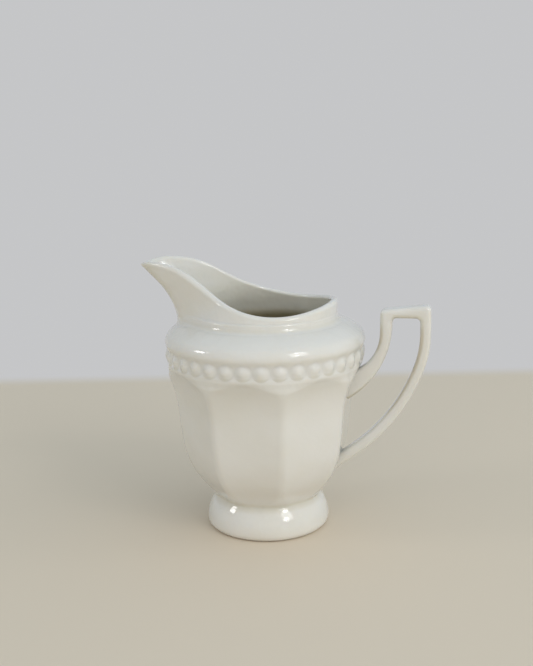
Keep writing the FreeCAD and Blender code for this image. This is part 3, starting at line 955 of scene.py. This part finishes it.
@dataclass
class PanelledBowl(Piece):
    """The eight-sided bowl with its soft arrises and its smooth well.

    Attributes:
        line: The jug's outline.
        well: Level and reach of the inside.
        well_roundness: Corner rounding of the inside as a share of its reach, by level.
        well_softness: How far the inside is evened out.
        well_stride: Every how many of its spots a ring lies.
        floor: Level of the floor.
        floor_reach: Radius of the flat of the floor.
        heel: Run from that flat to the side of the well.
        underside_reach: Radius of the bowl's own floor from below, hidden by the foot.
        pole_reaches: Radius of the last ring round the pole below and above.
        finish: Its glaze.
    """

    node = Node.BOWL
    name = "panelled_bowl"
    line: BodyLine
    well: Course = Course(
        (
            (18.0, 19.6), (22.0, 22.4), (29.0, 24.8), (38.0, 26.1), (48.0, 26.9), (54.0, 28.4),
            (59.4, 31.2),
        )
    )
    well_roundness: Course = Course(
        ((15.0, 0.9), (22.0, 0.4), (38.0, 0.28), (52.0, 0.3), (57.0, 0.7), (60.0, 1.0))
    )
    well_softness: float = 1.6
    well_stride: int = 2
    floor: float = 14.6
    floor_reach: float = 13.0
    heel: float = 3.0
    underside_reach: float = 15.0
    pole_reaches: Spot = (3.0, 2.0)
    # A deeper tint at the joint with the foot, as pooled glaze and painted shade in the crease.
    finish: Glaze = Glaze(
        pool_and_shade_level=0.0114, pool_and_shade_reach=0.003, pool_and_shade_share=0.8, wave_depth=0.00011
    )

    def inside(self) -> list[Station]:
        """The rings of the well.

        Returns:
            Their stations, from the joint with the shoulder down to the floor.
        """
        top, reach = self.line.shoulder_level, self.floor_reach
        drawn = Outline(self.well.at(top), top)
        drawn.through(self.well, top, self.well.stations[0][0])
        drawn.line(reach + self.heel, self.floor).line(reach, self.floor)
        drawn.line(self.pole_reaches[1], self.floor)
        return [
            panel_station(reach, level, self.well_roundness.at(level))
            for reach, level in drawn.softened(self.well_softness)[:: self.well_stride]
        ]

    def mesh(self) -> BMesh:
        """Grows the bowl from the middle of its underside to the middle of its floor.

        Returns:
            The mesh.
        """
        base, top = self.line.foot_top[1], self.line.shoulder_level
        shell = Shell(round_station(self.pole_reaches[0], base))
        shell.grow(round_station(self.underside_reach, base))
        shell.follow(self.line.stations(cut(self.line.spots, base, top)), seen=False)
        shell.follow(self.inside(), seen=False)
        return shell.poles(Vector((0, 0, base)), Vector((0, 0, self.floor)))


@dataclass
class NeckForm:
    """The shape of the neck at each level: a back circle and a lip circle joined by tangents.

    Attributes:
        level: Level of the neck's joint with the shoulder.
        back: Reach of the neck's upright back.
        wall: Wall of the neck and the spout.
        tucks: How much smaller the back circle is, by rise.
        lips: Radius of the lip circle, by rise.
        reaches: Reach of the front, by rise.
        blur: Angle to each side over which the shape is evened out.
    """

    level: float = 76.4
    back: float = 26.2
    wall: float = 2.5
    tucks: Course = Course(
        ((0, 0), (3.6, 0.9), (7.6, 1.5), (11.6, 1.6), (15.6, 1.5), (19.4, 1.4), (22.6, 1.3))
    )
    lips: Course = Course(
        ((0, 14.0), (3.6, 12.8), (7.6, 12.0), (11.6, 11.2), (15.6, 9.4), (19.4, 8.2), (22.6, 7.6))
    )
    reaches: Course = Course(
        (
            (0, 31.9), (3.6, 32.8), (7.6, 34.7), (11.6, 37.6), (15.6, 41.8), (19.4, 45.88),
            (22.6, 49.65),
        )
    )
    blur: float = math.radians(2.4)

    def exact(self, turn: float, rise: float, inset: float) -> float:
        """Distance from the axis to the two circles and their tangents.

        Args:
            turn: Angle round the axis.
            rise: Height over the joint with the shoulder.
            inset: How far the shape is drawn in.

        Returns:
            The distance at that angle.
        """
        tuck, lip = self.tucks.at(rise), self.lips.at(rise)
        front = lip - self.reaches.at(rise)
        back = self.back - tuck - inset
        lip -= inset
        c, s = math.cos(turn), abs(math.sin(turn))
        touch = math.pi / 2 + math.asin((back - lip) / (tuck - front))
        reach = circle_reach(turn, tuck, back)
        if reach is not None and math.atan2(reach * s, reach * c - tuck) <= touch:
            return reach
        reach = circle_reach(turn, front, lip)
        if reach is not None and math.atan2(reach * s, reach * c - front) >= touch:
            return reach
        return (math.cos(touch) * tuck + back) / (c * math.cos(touch) + s * math.sin(touch))

    def reach(self, turn: float, level: float, inset: float = 0.0) -> float:
        """Distance from the axis to the neck, evened out between neighbouring angles.

        Args:
            turn: Angle round the axis.
            level: Level on the neck.
            inset: How far the neck is drawn in.

        Returns:
            The distance at that angle.
        """
        rise = level - self.level
        near = self.exact(turn - self.blur, rise, inset) + self.exact(turn + self.blur, rise, inset)
        return (near + 2 * self.exact(turn, rise, inset)) / 4


@dataclass
class Shoulder(Piece):
    """The turned shoulder: band, bead ground, rolled edge and low dome, open to the neck.

    Attributes:
        line: The jug's outline.
        neck: The neck's form.
        well_reach: Radius of the inside.
        well_top: Level where the inside starts to close toward the neck.
        well_rings: Rings of the inside below that level.
        mouth_hold: How long the inside keeps the neck's shape on its way down.
        mouth_rings: Rings of the inside above that level.
        slack: How far a cut keeps from the ends of the dome.
        finish: Its glaze.
    """

    node = Node.SHOULDER
    name = "rolled_shoulder"
    line: BodyLine
    neck: NeckForm
    well_reach: float = 31.2
    well_top: float = 65.5
    well_rings: int = 6
    mouth_hold: float = 1.7
    mouth_rings: int = 24
    slack: float = 0.01
    # A deeper tint at the joint with the neck, as pooled glaze and painted shade in the crease.
    finish: Glaze = Glaze(pool_and_shade_level=0.0764, pool_and_shade_reach=0.0015, pool_and_shade_share=0.5)

    def dome_spot(self, reach: float, turn: float) -> Vector:
        """A point on the dome, drawn outward near the spout so that the dome ends under the neck.

        Args:
            reach: Its reach on a round dome.
            turn: Angle round the axis.

        Returns:
            The point.
        """
        crest, top = self.line.crest[0], self.line.dome_top[0]
        end = self.neck.reach(turn, self.neck.level, self.neck.wall / 2)
        near = crest - (crest - reach) * (crest - end) / (crest - top)
        return around(turn, near, self.line.dome_level(near))

    def mouth_spot(self, share: float, turn: float) -> Vector:
        """A point of the inside, between the neck's mouth and the round well.

        Args:
            share: How far down it lies, from 0 at the mouth to 1 at the well.
            turn: Angle round the axis.

        Returns:
            The point.
        """
        top, wall = self.neck.level, self.neck.wall
        fall = top - self.well_top
        # the difference of these two is the slope with which the neck arrives
        mouth, above = (self.neck.reach(turn, top + up, wall) for up in (0.0, 1.0))
        lead = (mouth - above) * fall * share * (1 - share) ** 2
        reach = mix(mouth, self.well_reach, ease(share) ** self.mouth_hold) + lead
        return around(turn, reach, top - fall * share)

    def mesh(self) -> BMesh:
        """Grows the shoulder from the band over the dome and down its inside.

        Returns:
            The mesh.
        """
        base, split = self.line.shoulder_level, self.line.crest[1] - self.slack
        spots = cut(self.line.spots, base, self.line.dome_top[1] - self.slack)
        first, *rest = self.line.stations([spot for spot in spots if spot[1] <= split])
        rings, steps = self.mouth_rings, self.well_rings
        shell = Shell(first)
        shell.follow(rest)
        shell.follow([partial(self.dome_spot, reach) for reach, level in spots if level > split])
        mouth = [partial(self.mouth_spot, k / rings) for k in range(rings + 1)]
        shell.follow(mouth, seen=False)
        levels = [mix(self.well_top, base, k / steps) for k in range(1, steps + 1)]
        shell.follow([round_station(self.well_reach, level) for level in levels])
        return shell.join()


@dataclass
class BeadRow(Piece):
    """The row of soft beads, each swelling out of its ground.

    Attributes:
        line: The jug's outline, which the beads swell out of.
        count: Beads round the jug.
        level: Level of the beads' middles.
        height: How far a bead stands out.
        spread: Radius at which a bead has sunk into the ground.
        sink: How deep the hidden back of a bead lies.
        bite: How deep the edge of a bead lies.
        columns: Vertices round a bead.
        rings: Rings from its edge to its middle.
        finish: Its glaze.
    """

    node = Node.BEADS
    name = "bead_row"
    line: BodyLine
    count: int = 36
    level: float = 64.5
    height: float = 1.0
    spread: float = 3.05
    sink: float = 0.5
    bite: float = 0.01
    columns: int = 24
    rings: int = 9
    # A deeper tint under the beads, as pooled glaze and painted shade.
    finish: Glaze = Glaze(pool_and_shade_level=0.0622, pool_and_shade_reach=0.0012, pool_and_shade_share=0.6)

    def bead(self) -> BMesh:
        """Builds one bead, lying flat.

        Returns:
            Its mesh, with the ground at level 0.
        """
        bm = bmesh.new()
        bmesh.ops.create_circle(bm, cap_ends=False, segments=self.columns, radius=self.spread)
        bmesh.ops.translate(bm, vec=(0, 0, -self.sink), verts=bm.verts)
        back, rim = list(bm.verts), list(bm.edges)
        for k in range(self.rings):
            share = 1 - k / self.rings
            grown = bmesh.ops.extrude_edge_only(bm, edges=rim)["geom"]
            rim, ring = of_kind(grown, BMEdge), of_kind(grown, BMVert)
            for vert in ring:
                flat = Vector((vert.co.x, vert.co.y)).normalized() * share * self.spread
                vert.co = Vector((*flat, self.height * (1 - share**2) ** 2))
            for face in of_kind(grown, BMFace):
                face.smooth = k > 0
        bmesh.ops.pointmerge(bm, verts=ring, merge_co=Vector((0, 0, self.height)))
        bmesh.ops.pointmerge(bm, verts=back, merge_co=Vector((0, 0, -self.sink)))
        return bm

    def mesh(self) -> BMesh:
        """Wraps a bead onto the ground and turns copies of it round the jug.

        Returns:
            The mesh.
        """
        bm = self.bead()
        for vert in bm.verts:
            across, up, out = vert.co
            ground = crossing(self.line.spots, self.level + up)[0] - self.bite
            vert.co = around(across / self.line.ground, ground + out, self.level + up)
        copies = self.count - 1
        bmesh.ops.spin(
            bm, geom=[*bm.verts, *bm.edges, *bm.faces], cent=(0, 0, 0), axis=(0, 0, 1),
            angle=2 * math.pi / self.count * copies, steps=copies, use_duplicate=True,
        )
        return bm


@dataclass
class Rim:
    """The sweeping line of the rim, seen from the side.

    Attributes:
        crest: Place across and level of its highest place, toward the spout.
        crest_bend: Sweep up to it.
        beak_bend: Sweep from it down to the tip.
        slope: Angle of the straight stretch.
        dip: Place across and level of its lowest place, toward the handle.
        dip_bend: Sweep into the dip.
        back_bend: Sweep from the dip toward the handle.
    """

    crest: Spot = (-38.0, 96.9)
    crest_bend: float = 30.0
    beak_bend: float = 16.0
    slope: float = math.radians(30.9)
    dip: Spot = (10.0, 81.1)
    dip_bend: float = 48.2
    back_bend: float = 46.0

    def level(self, across: float) -> float:
        """Level of the rim.

        Args:
            across: Place along +X.

        Returns:
            The level there.
        """
        from_crest, from_dip = across - self.crest[0], across - self.dip[0]
        if from_crest < 0:
            return self.crest[1] - bow(self.beak_bend, from_crest)
        if from_crest < self.crest_bend * math.sin(self.slope):
            return self.crest[1] - bow(self.crest_bend, from_crest)
        if from_dip > 0:
            return self.dip[1] + bow(self.back_bend, from_dip)
        foot = self.dip_bend * math.sin(self.slope)
        if from_dip > -foot:
            return self.dip[1] + bow(self.dip_bend, from_dip)
        return self.dip[1] + bow(self.dip_bend, foot) + (-from_dip - foot) * math.tan(self.slope)


@dataclass
class NeckSpout(Piece):
    """The open neck drawn out into a pouring spout, with a full round lip.

    Attributes:
        line: The jug's outline.
        neck: The neck's form.
        rim: The rim's line.
        skirt: Reach of the soft hollow where the neck meets the dome.
        skirt_rings: Rings up that hollow.
        sink: How deep its edge goes into the dome.
        rings: Rings up each side of the wall.
        lip_rings: Rings over the lip.
        search: Halvings in the search for the top of the wall.
        room: How far over the joint and over the rim that search reaches.
        nearby: Half the height over which the lean of the wall is measured.
        finish: Its glaze.
        tops: Levels of the top of the wall found so far, by angle.
    """

    node = Node.NECK
    name = "neck_and_spout"
    line: BodyLine
    neck: NeckForm
    rim: Rim = field(default_factory=Rim)
    skirt: float = 2.6
    skirt_rings: int = 12
    sink: float = 0.015
    rings: int = 34
    lip_rings: int = 9
    search: int = 22
    room: float = 1.0
    nearby: float = 0.5
    # A deeper tint where the neck meets the dome, as pooled glaze and painted shade in the crease.
    finish: Glaze = Glaze(pool_and_shade_level=0.0768, pool_and_shade_reach=0.0014, pool_and_shade_share=0.5)
    tops: dict[float, float] = field(default_factory=dict)

    def lean(self, turn: float, level: float) -> Vector:
        """The way up the wall.

        Args:
            turn: Angle round the axis.
            level: Level on the wall.

        Returns:
            The way there, with a length of 1.
        """
        middle = self.neck.wall / 2
        low, high = (
            self.neck.reach(turn, level + step, middle) for step in (-self.nearby, self.nearby)
        )
        return around(turn, high - low, 2 * self.nearby).normalized()

    def find_top(self, turn: float) -> float:
        """Searches for the level at which the crest of a lip would be on the rim.

        Args:
            turn: Angle round the axis.

        Returns:
            The level where the wall turns into that lip.
        """
        low, high = self.neck.level + self.room, self.rim.crest[1] + self.room
        for _ in range(self.search):
            level = (low + high) / 2
            middle = around(turn, self.neck.reach(turn, level, self.neck.wall / 2), level)
            crest = middle + self.lean(turn, level) * self.neck.wall / 2
            if crest.z > self.rim.level(crest.x):
                high = level
            else:
                low = level
        return low

    def top(self, turn: float) -> float:
        """Level of the top of the wall, searched for once at each angle.

        Args:
            turn: Angle round the axis.

        Returns:
            The level.
        """
        if turn not in self.tops:
            self.tops[turn] = self.find_top(turn)
        return self.tops[turn]

    def skirt_spot(self, share: float, turn: float) -> Vector:
        """A point of the soft hollow, from the dome at share 0 to the wall at share 1.

        Args:
            share: How far up it lies.
            turn: Angle round the axis.

        Returns:
            The point.
        """
        reach = self.neck.reach(turn, self.neck.level) + self.skirt * (1 - share) ** 2
        foot = self.line.dome_level(reach) - self.sink
        return around(turn, reach, foot + self.skirt * share**3)

    def wall_spot(self, share: float, inset: float, turn: float) -> Vector:
        """A point of the wall.

        Args:
            share: How far up it lies, from 0 at its foot to 1 under the lip.
            inset: 0 for the outside, or the wall's thickness for the inside.
            turn: Angle round the axis.

        Returns:
            The point.
        """
        low = self.neck.level if inset else self.skirt_spot(1.0, turn).z
        level = mix(low, self.top(turn), share)
        return around(turn, self.neck.reach(turn, level, inset), level)

    def lip_spot(self, angle: float, turn: float) -> Vector:
        """A point of the lip.

        Args:
            angle: Angle over the lip, from 0 on the outside.
            turn: Angle round the axis.

        Returns:
            The point.
        """
        level, wall = self.top(turn), self.neck.wall
        outer, inner = (
            around(turn, self.neck.reach(turn, level, inset), level) for inset in (0.0, wall)
        )
        middle, arm = (outer + inner) / 2, (outer - inner) / 2
        way = self.lean(turn, level) * wall / 2
        return middle + arm * math.cos(angle) + way * math.sin(angle)

    def mesh(self) -> BMesh:
        """Grows the neck from its skirt up the outside, over the lip and down the inside.

        Returns:
            The mesh.
        """
        hollow, shares = (
            [k / count for k in range(count + 1)] for count in (self.skirt_rings, self.rings)
        )
        over = self.lip_rings + 1
        shell = Shell(partial(self.skirt_spot, 0.0))
        shell.follow([partial(self.skirt_spot, share) for share in hollow[1:]])
        shell.follow([partial(self.wall_spot, share, 0.0) for share in shares[1:]])
        shell.follow([partial(self.lip_spot, math.pi * k / over) for k in range(1, over)])
        wall = self.neck.wall
        shell.follow([partial(self.wall_spot, share, wall) for share in reversed(shares)])
        return shell.join()


# ---- the handle


class Path:
    """A path of tangent arcs in the handle's plane.

    Attributes:
        spots: Its points so far.
        heading: The way it is going.
    """

    def __init__(self, start: Spot, heading: Spot) -> None:
        """Starts the path at a point, on its way along a heading."""
        self.spots = [Vector(start)]
        self.heading = Vector(heading).normalized()

    def arc(self, end: Spot, steps: int) -> "Path":
        """Draws an arc that leaves along the heading.

        Args:
            end: Where the arc ends.
            steps: How many even steps it takes.

        Returns:
            The path itself.
        """
        start, finish = self.spots[-1], Vector(end)
        chord = finish - start
        side = Vector((-self.heading.y, self.heading.x))
        centre = start + side * (chord.length_squared / 2 / chord.dot(side))
        arm = start - centre
        turn = -arm.angle_signed(finish - centre)
        for k in range(1, steps + 1):
            self.spots.append(centre + Matrix.Rotation(turn * k / steps, 2) @ arm)
        self.heading = (Matrix.Rotation(turn, 2) @ self.heading).normalized()
        return self


@dataclass
class LoopHandle(Piece):
    """The angular loop: riser, top bar, and an outer limb that sweeps back to the bowl.

    Attributes:
        width: Width across the jug.
        rounding: Rounding of its long edges.
        rounding_steps: Faces across that rounding.
        bar_rounding: Rounding of the loop's outer corners.
        gap_rounding: Rounding of the finger gap's top corners.
        corner_steps: Steps round each of those corners.
        between: Shares of the way from one corner to the next that get a point.
        riser_root: Upper end inside the bowl, jug side then gap side.
        riser: Places across of the riser's two faces at its top.
        riser_bends: Levels where those faces start to bend inward.
        riser_steps: Steps along that bend.
        bar_top: Level of the top bar over the riser, and over the limb.
        gap_top: Level of the top of the finger gap.
        limb: Places across of the limb's gap face and of its back.
        limb_bend: Level where the limb starts to bend.
        limb_steps: Steps to the sweep, to the tail and to the root.
        sweep: Start of the long sweep on the back.
        tail: Start of the flare into the root, on the back.
        tail_root: Lower end inside the bowl.
        root_step: Length of the gap face's steps beside that flare.
        flank_lean: Least share of a flank's normal that points across the jug.
        fine: Levels of subdivision.
        finish: Its glaze.
    """

    node = Node.HANDLE
    name = "loop_handle"
    width: float = 6.6
    rounding: float = 1.5
    rounding_steps: int = 3
    bar_rounding: float = 1.9
    gap_rounding: float = 1.4
    corner_steps: int = 4
    between: Spot = (0.33, 0.67)
    riser_root: tuple[Spot, Spot] = ((30.3, 57.5), (27.9, 46.5))
    riser: Spot = (41.2, 45.6)
    riser_bends: Spot = (72.2, 75.7)
    riser_steps: int = 12
    bar_top: Spot = (80.5, 82.4)
    gap_top: float = 77.5
    limb: Spot = (55.0, 58.89)
    limb_bend: float = 72.1
    limb_steps: tuple[int, int, int] = (5, 18, 6)
    sweep: Spot = (56.9, 60.1)
    tail: Spot = (31.5, 26.1)
    tail_root: Spot = (19.7, 16.0)
    root_step: float = 0.7
    flank_lean: float = 0.5
    fine: int = 2
    # Painted shade: the handle's sides that face the jug take the darker inner colour, and below
    # the neck's level this well colour.
    finish: Glaze = Glaze(well=(0.56, 0.51, 0.41), wave_depth=0.0002)

    def rounded(
        self, corner: Vector, before: Vector, after: Vector, radius: float
    ) -> list[Vector]:
        """A corner of the loop, rounded in the handle's plane.

        Args:
            corner: The sharp corner.
            before: A point on the way to it.
            after: A point on the way from it.
            radius: Rounding of the corner.

        Returns:
            Points along the rounding, from the way in to the way out.
        """
        arrive, leave = (before - corner).normalized(), (after - corner).normalized()
        half = arrive.angle(leave) / 2
        centre = corner + (arrive + leave).normalized() * radius / math.sin(half)
        first = corner + arrive * radius / math.tan(half) - centre
        turn = -first.angle_signed(corner + leave * radius / math.tan(half) - centre)
        steps = self.corner_steps
        return [centre + Matrix.Rotation(turn * k / steps, 2) @ first for k in range(steps + 1)]

    def riser_sides(self) -> list[list[Vector]]:
        """The two faces of the riser.

        Returns:
            Their points, from the root up to the corner of the top bar, outer face first.
        """
        return [
            list(reversed(Path((across, bend), (0, -1)).arc(root, self.riser_steps).spots))
            for across, bend, root in zip(self.riser, self.riser_bends, self.riser_root)
        ]

    def limb_sides(self) -> list[list[Vector]]:
        """The two faces of the limb.

        Returns:
            Their points, from the corner of the top bar down to the root, back first.
        """
        bend, sweep, flare = self.limb_steps
        thick = self.limb[1] - self.limb[0]
        back = Path((self.limb[1], self.limb_bend), (0, -1)).arc(self.sweep, bend)
        spots = back.arc(self.tail, sweep).spots
        gap = []
        for k, spot in enumerate(spots):
            before, after = spots[max(k - 1, 0)], spots[min(k + 1, len(spots) - 1)]
            way = (after - before).normalized()
            gap.append(spot + Vector((way.y, -way.x)) * thick)
        end, way = gap[-1], (gap[-1] - gap[-2]).normalized()
        gap += [end + way * self.root_step * k for k in range(1, flare + 1)]
        return [back.arc(self.tail_root, flare).spots, gap]

    def sides(self) -> list[list[Vector]]:
        """The whole outer side of the loop, and the side of the finger gap.

        Returns:
            Their points from root to root, the same number on both.
        """
        tops = (self.bar_top, (self.gap_top, self.gap_top))
        radii = (self.bar_rounding, self.gap_rounding)
        made = []
        for side, run, across, limb, top, radius in zip(
            self.riser_sides(), self.limb_sides(), self.riser, reversed(self.limb), tops, radii
        ):
            first, second = Vector((across, top[0])), Vector((limb, top[1]))
            for part in (
                self.rounded(first, side[-1], second, radius),
                self.rounded(second, first, run[0], radius),
                run,
            ):
                side = side + [side[-1].lerp(part[0], share) for share in self.between] + part
            made.append(side)
        return made

    def strip(self) -> BMesh:
        """Grows one flank of the loop along its two sides.

        Returns:
            Its mesh, flat, at half the width.
        """
        outer, gap = self.sides()
        flank = -self.width / 2
        bm = bmesh.new()
        ends = [bm.verts.new((spot.x, flank, spot.y)) for spot in (outer[0], gap[0])]
        edges = [bm.edges.new(ends)]
        for pair in zip(outer[1:], gap[1:]):
            start = ends[0].co.copy()
            grown = bmesh.ops.extrude_edge_only(bm, edges=edges)["geom"]
            edges = of_kind(grown, BMEdge)[:1]
            ends = sorted(of_kind(grown, BMVert), key=lambda vert: (vert.co - start).length)
            for vert, spot in zip(ends, pair):
                vert.co = (spot.x, flank, spot.y)
        return bm

    def mesh(self) -> BMesh:
        """Gives the loop its width and rounds its long edges.

        Returns:
            The mesh.
        """
        bm = self.strip()
        grown = bmesh.ops.extrude_face_region(bm, geom=list(bm.faces))["geom"]
        bmesh.ops.translate(bm, vec=(0, self.width, 0), verts=of_kind(grown, BMVert))
        bmesh.ops.recalc_face_normals(bm, faces=bm.faces)
        long_edges = []
        for edge in bm.edges:
            leans = [abs(face.normal.y) for face in edge.link_faces]
            if min(leans) < self.flank_lean < max(leans):
                long_edges.append(edge)
        bmesh.ops.bevel(
            bm, geom=long_edges, offset=self.rounding, segments=self.rounding_steps,
            profile=0.5, affect="EDGES", clamp_overlap=False, material=-1,
        )
        for face in bm.faces:
            face.smooth = True
        return bm

    def build(self, effects: Effects) -> bpy.types.Object:
        """Builds the piece and softens it.

        Args:
            effects: The shared node groups.

        Returns:
            The new object, with its modifier live.
        """
        piece = super().build(effects)
        smooth = piece.modifiers.new("soften", "SUBSURF")
        smooth.levels = smooth.render_levels = self.fine
        return piece


# ---- the studio


@dataclass(frozen=True)
class Lamp:
    """A soft rectangular lamp that looks at the jug.

    Attributes:
        name: The lamp's name.
        place: Where it stands, in metres.
        size: Its width and height, in metres.
        power: Its power in watts.
        colour: Its linear colour.
        shine: Whether the glaze mirrors it.
    """

    name: str
    place: Place
    size: tuple[float, float]
    power: float
    colour: Colour = (1.0, 1.0, 1.0)
    shine: bool = True

    def build(self, target: Vector) -> bpy.types.Object:
        """Hangs the lamp and turns it to the jug.

        Args:
            target: What it looks at.

        Returns:
            The new lamp.
        """
        data = bpy.data.lights.new(self.name, "AREA")
        data.shape = "RECTANGLE"
        data.size, data.size_y = self.size
        data.energy = self.power
        data.color = self.colour
        lamp = bpy.data.objects.new(self.name, data)
        lamp.location = self.place
        lamp.visible_glossy = self.shine
        lamp.rotation_euler = (target - Vector(self.place)).to_track_quat("-Z", "Y").to_euler()
        bpy.context.scene.collection.objects.link(lamp)
        return lamp


@dataclass
class Studio:
    """A pale table top against a pale background, soft lamps and the camera.

    Attributes:
        table_colour: Linear colour of the table top.
        table_roughness: Its roughness.
        table_shine: Its specular level.
        table_reach: Middle of the sheet to its sides, in metres.
        table_drop: How far the sheet lies below the foot, in metres.
        depth: Middle of the jug to the back of the table top.
        blur: Half the width of the soft edge there.
        facing: Angle that the table top is turned by, to face the camera.
        beyond_colour: Linear colour of all that lies beyond it.
        low_sky: Linear colour of the light from the horizon.
        high_sky: Linear colour of the light from overhead.
        high_way: Where overhead is, leaning to the back.
        sky_span: Where the light of the horizon ends and that from overhead starts.
        bright_way: The way to the brighter side of the room, as long as the gain.
        camera_place: Where the camera stands, in metres.
        camera_target: What it looks at.
        roll: Its lean to one side.
        focal: Focal length for its sensor.
        sensor: Width of the sensor, in millimetres.
        clip: Nearest and farthest that the camera sees, in metres.
        lamps: The lamps.
        lamp_target: What they look at.
    """

    table_colour: Colour = (0.71, 0.61, 0.48)
    table_roughness: float = 0.8
    table_shine: float = 0.1
    table_reach: float = 6.0
    table_drop: float = 0.0001
    depth: float = 0.205
    blur: float = 0.012
    facing: float = math.radians(12.5)
    beyond_colour: Colour = (0.56, 0.565, 0.575)
    low_sky: Colour = (1.14, 1.12, 1.10)
    high_sky: Colour = (0.45, 0.55, 0.64)
    high_way: Place = (0.0, 0.5, 0.866)
    sky_span: Spot = (-0.4, 0.8)
    bright_way: Place = (0.295, 0.052, 0.0)
    camera_place: Place = (0.0761, -0.3407, 0.1479)
    camera_target: Place = (0.00056, 0.00012, 0.0706)
    roll: float = math.radians(-1.14)
    focal: float = 54.05
    sensor: float = 36.0
    clip: Spot = (0.01, 20.0)
    lamps: tuple[Lamp, ...] = (
        Lamp("soft_side", (1.2, -0.1, 0.6), (1.0, 1.0), 2.6, shine=False),
        Lamp("soft_front", (0.1, -1.3, 0.16), (1.2, 0.3), 0.95, (1.0, 0.94, 0.84), shine=False),
        Lamp("window_right", (0.80, -0.63, 0.64), (0.42, 0.42), 1.4),
        Lamp("pane_low", (0.825, -0.77, 0.46), (0.10, 0.08), 0.35),
        Lamp("pane_high", (0.75, -0.51, 0.84), (0.22, 0.06), 0.5),
        Lamp("window_left", (-0.99, -0.38, 0.54), (0.26, 0.20), 1.0),
    )
    lamp_target: Place = (0.0, 0.0, 0.05)

    def table(self) -> None:
        """Builds the table top, a sheet of one colour near the jug and another beyond."""
        bm = bmesh.new()
        bmesh.ops.create_grid(bm, x_segments=1, y_segments=1, size=self.table_reach)
        bmesh.ops.translate(bm, vec=(0, 0, -self.table_drop), verts=bm.verts)
        mesh = bpy.data.meshes.new("table_top")
        bm.to_mesh(mesh)
        bm.free()
        mesh.materials.append(self.paint())
        sheet = bpy.data.objects.new("table_top", mesh)
        bpy.context.scene.collection.objects.link(sheet)

    def paint(self) -> bpy.types.Material:
        """The matt paint of the table top, which gives way to the background at its back edge.

        Returns:
            The new material.
        """
        made = bpy.data.materials.new("studio_paint")
        made.use_nodes = True
        wires = Wiring(made.node_tree)
        shader = made.node_tree.nodes["Principled BSDF"]
        surface = {
            "Base Color": (*self.table_colour, 1),
            "Roughness": self.table_roughness,
            "Specular IOR Level": self.table_shine,
        }
        wires.feed(shader, surface)
        place = wires.node("TexCoord").outputs["Object"]
        turn = {"Vector": place, "Rotation": (0, 0, self.facing)}
        turned = wires.node("Mapping", turn, vector_type="TEXTURE").outputs["Vector"]
        back = wires.node("SeparateXYZ", {"Vector": turned}).outputs["Y"]
        edge = wires.ramp(back, self.depth - self.blur, self.depth + self.blur, soft=True)
        beyond = wires.node("Emission", {"Color": (*self.beyond_colour, 1)}).outputs["Emission"]
        share = wires.math("MULTIPLY", edge, wires.seen())
        wires.cover(share, shader.outputs["BSDF"], beyond, "Material Output")
        return made

    def camera(self) -> None:
        """Sets up the camera."""
        data = bpy.data.cameras.new("camera")
        data.sensor_width = self.sensor
        data.lens = self.focal
        data.clip_start, data.clip_end = self.clip
        eye = bpy.data.objects.new("camera", data)
        back = (Vector(self.camera_place) - Vector(self.camera_target)).normalized()
        right = Vector((0, 0, 1)).cross(back).normalized()
        tilted = right * math.cos(self.roll) + back.cross(right) * math.sin(self.roll)
        turn = Matrix((tilted, back.cross(tilted), back)).transposed()
        eye.matrix_world = Matrix.Translation(self.camera_place) @ turn.to_4x4()
        bpy.context.scene.collection.objects.link(eye)
        bpy.context.scene.camera = eye

    def world(self) -> None:
        """A pale sky all round, cooler overhead, seen directly as an even background."""
        sky = bpy.data.worlds.new("studio_sky")
        sky.use_nodes = True
        wires = Wiring(sky.node_tree)
        way = wires.node("TexCoord").outputs["Generated"]
        rise = wires.ramp(wires.dot(way, self.high_way), *self.sky_span)
        tint = wires.blend(rise, (*self.low_sky, 1), (*self.high_sky, 1))
        gain = wires.math("ADD", wires.dot(way, self.bright_way), 1.0)
        light = sky.node_tree.nodes["Background"]
        wires.feed(light, {"Color": tint, "Strength": gain})
        even = wires.node("Background", {"Color": (*self.beyond_colour, 1)}).outputs["Background"]
        wires.cover(wires.seen(), light.outputs["Background"], even, "World Output")
        bpy.context.scene.world = sky

    def build(self) -> None:
        """Sets the whole studio up."""
        self.table()
        self.camera()
        self.world()
        for lamp in self.lamps:
            lamp.build(Vector(self.lamp_target))
        bpy.context.scene.view_settings.view_transform = "Standard"


def main() -> None:
    """Builds the jug piece by piece, then the studio."""
    logging.basicConfig(level=logging.INFO, format="%(message)s")
    effects = Effects()
    line, neck = BodyLine(), NeckForm()
    for part in (
        Pedestal(line),
        PanelledBowl(line),
        Shoulder(line, neck),
        BeadRow(line),
        NeckSpout(line, neck),
        LoopHandle(),
    ):
        piece = part.build(effects)
        log.info("built %s", piece.name)
    Studio().build()


if __name__ == "__main__":
    main()
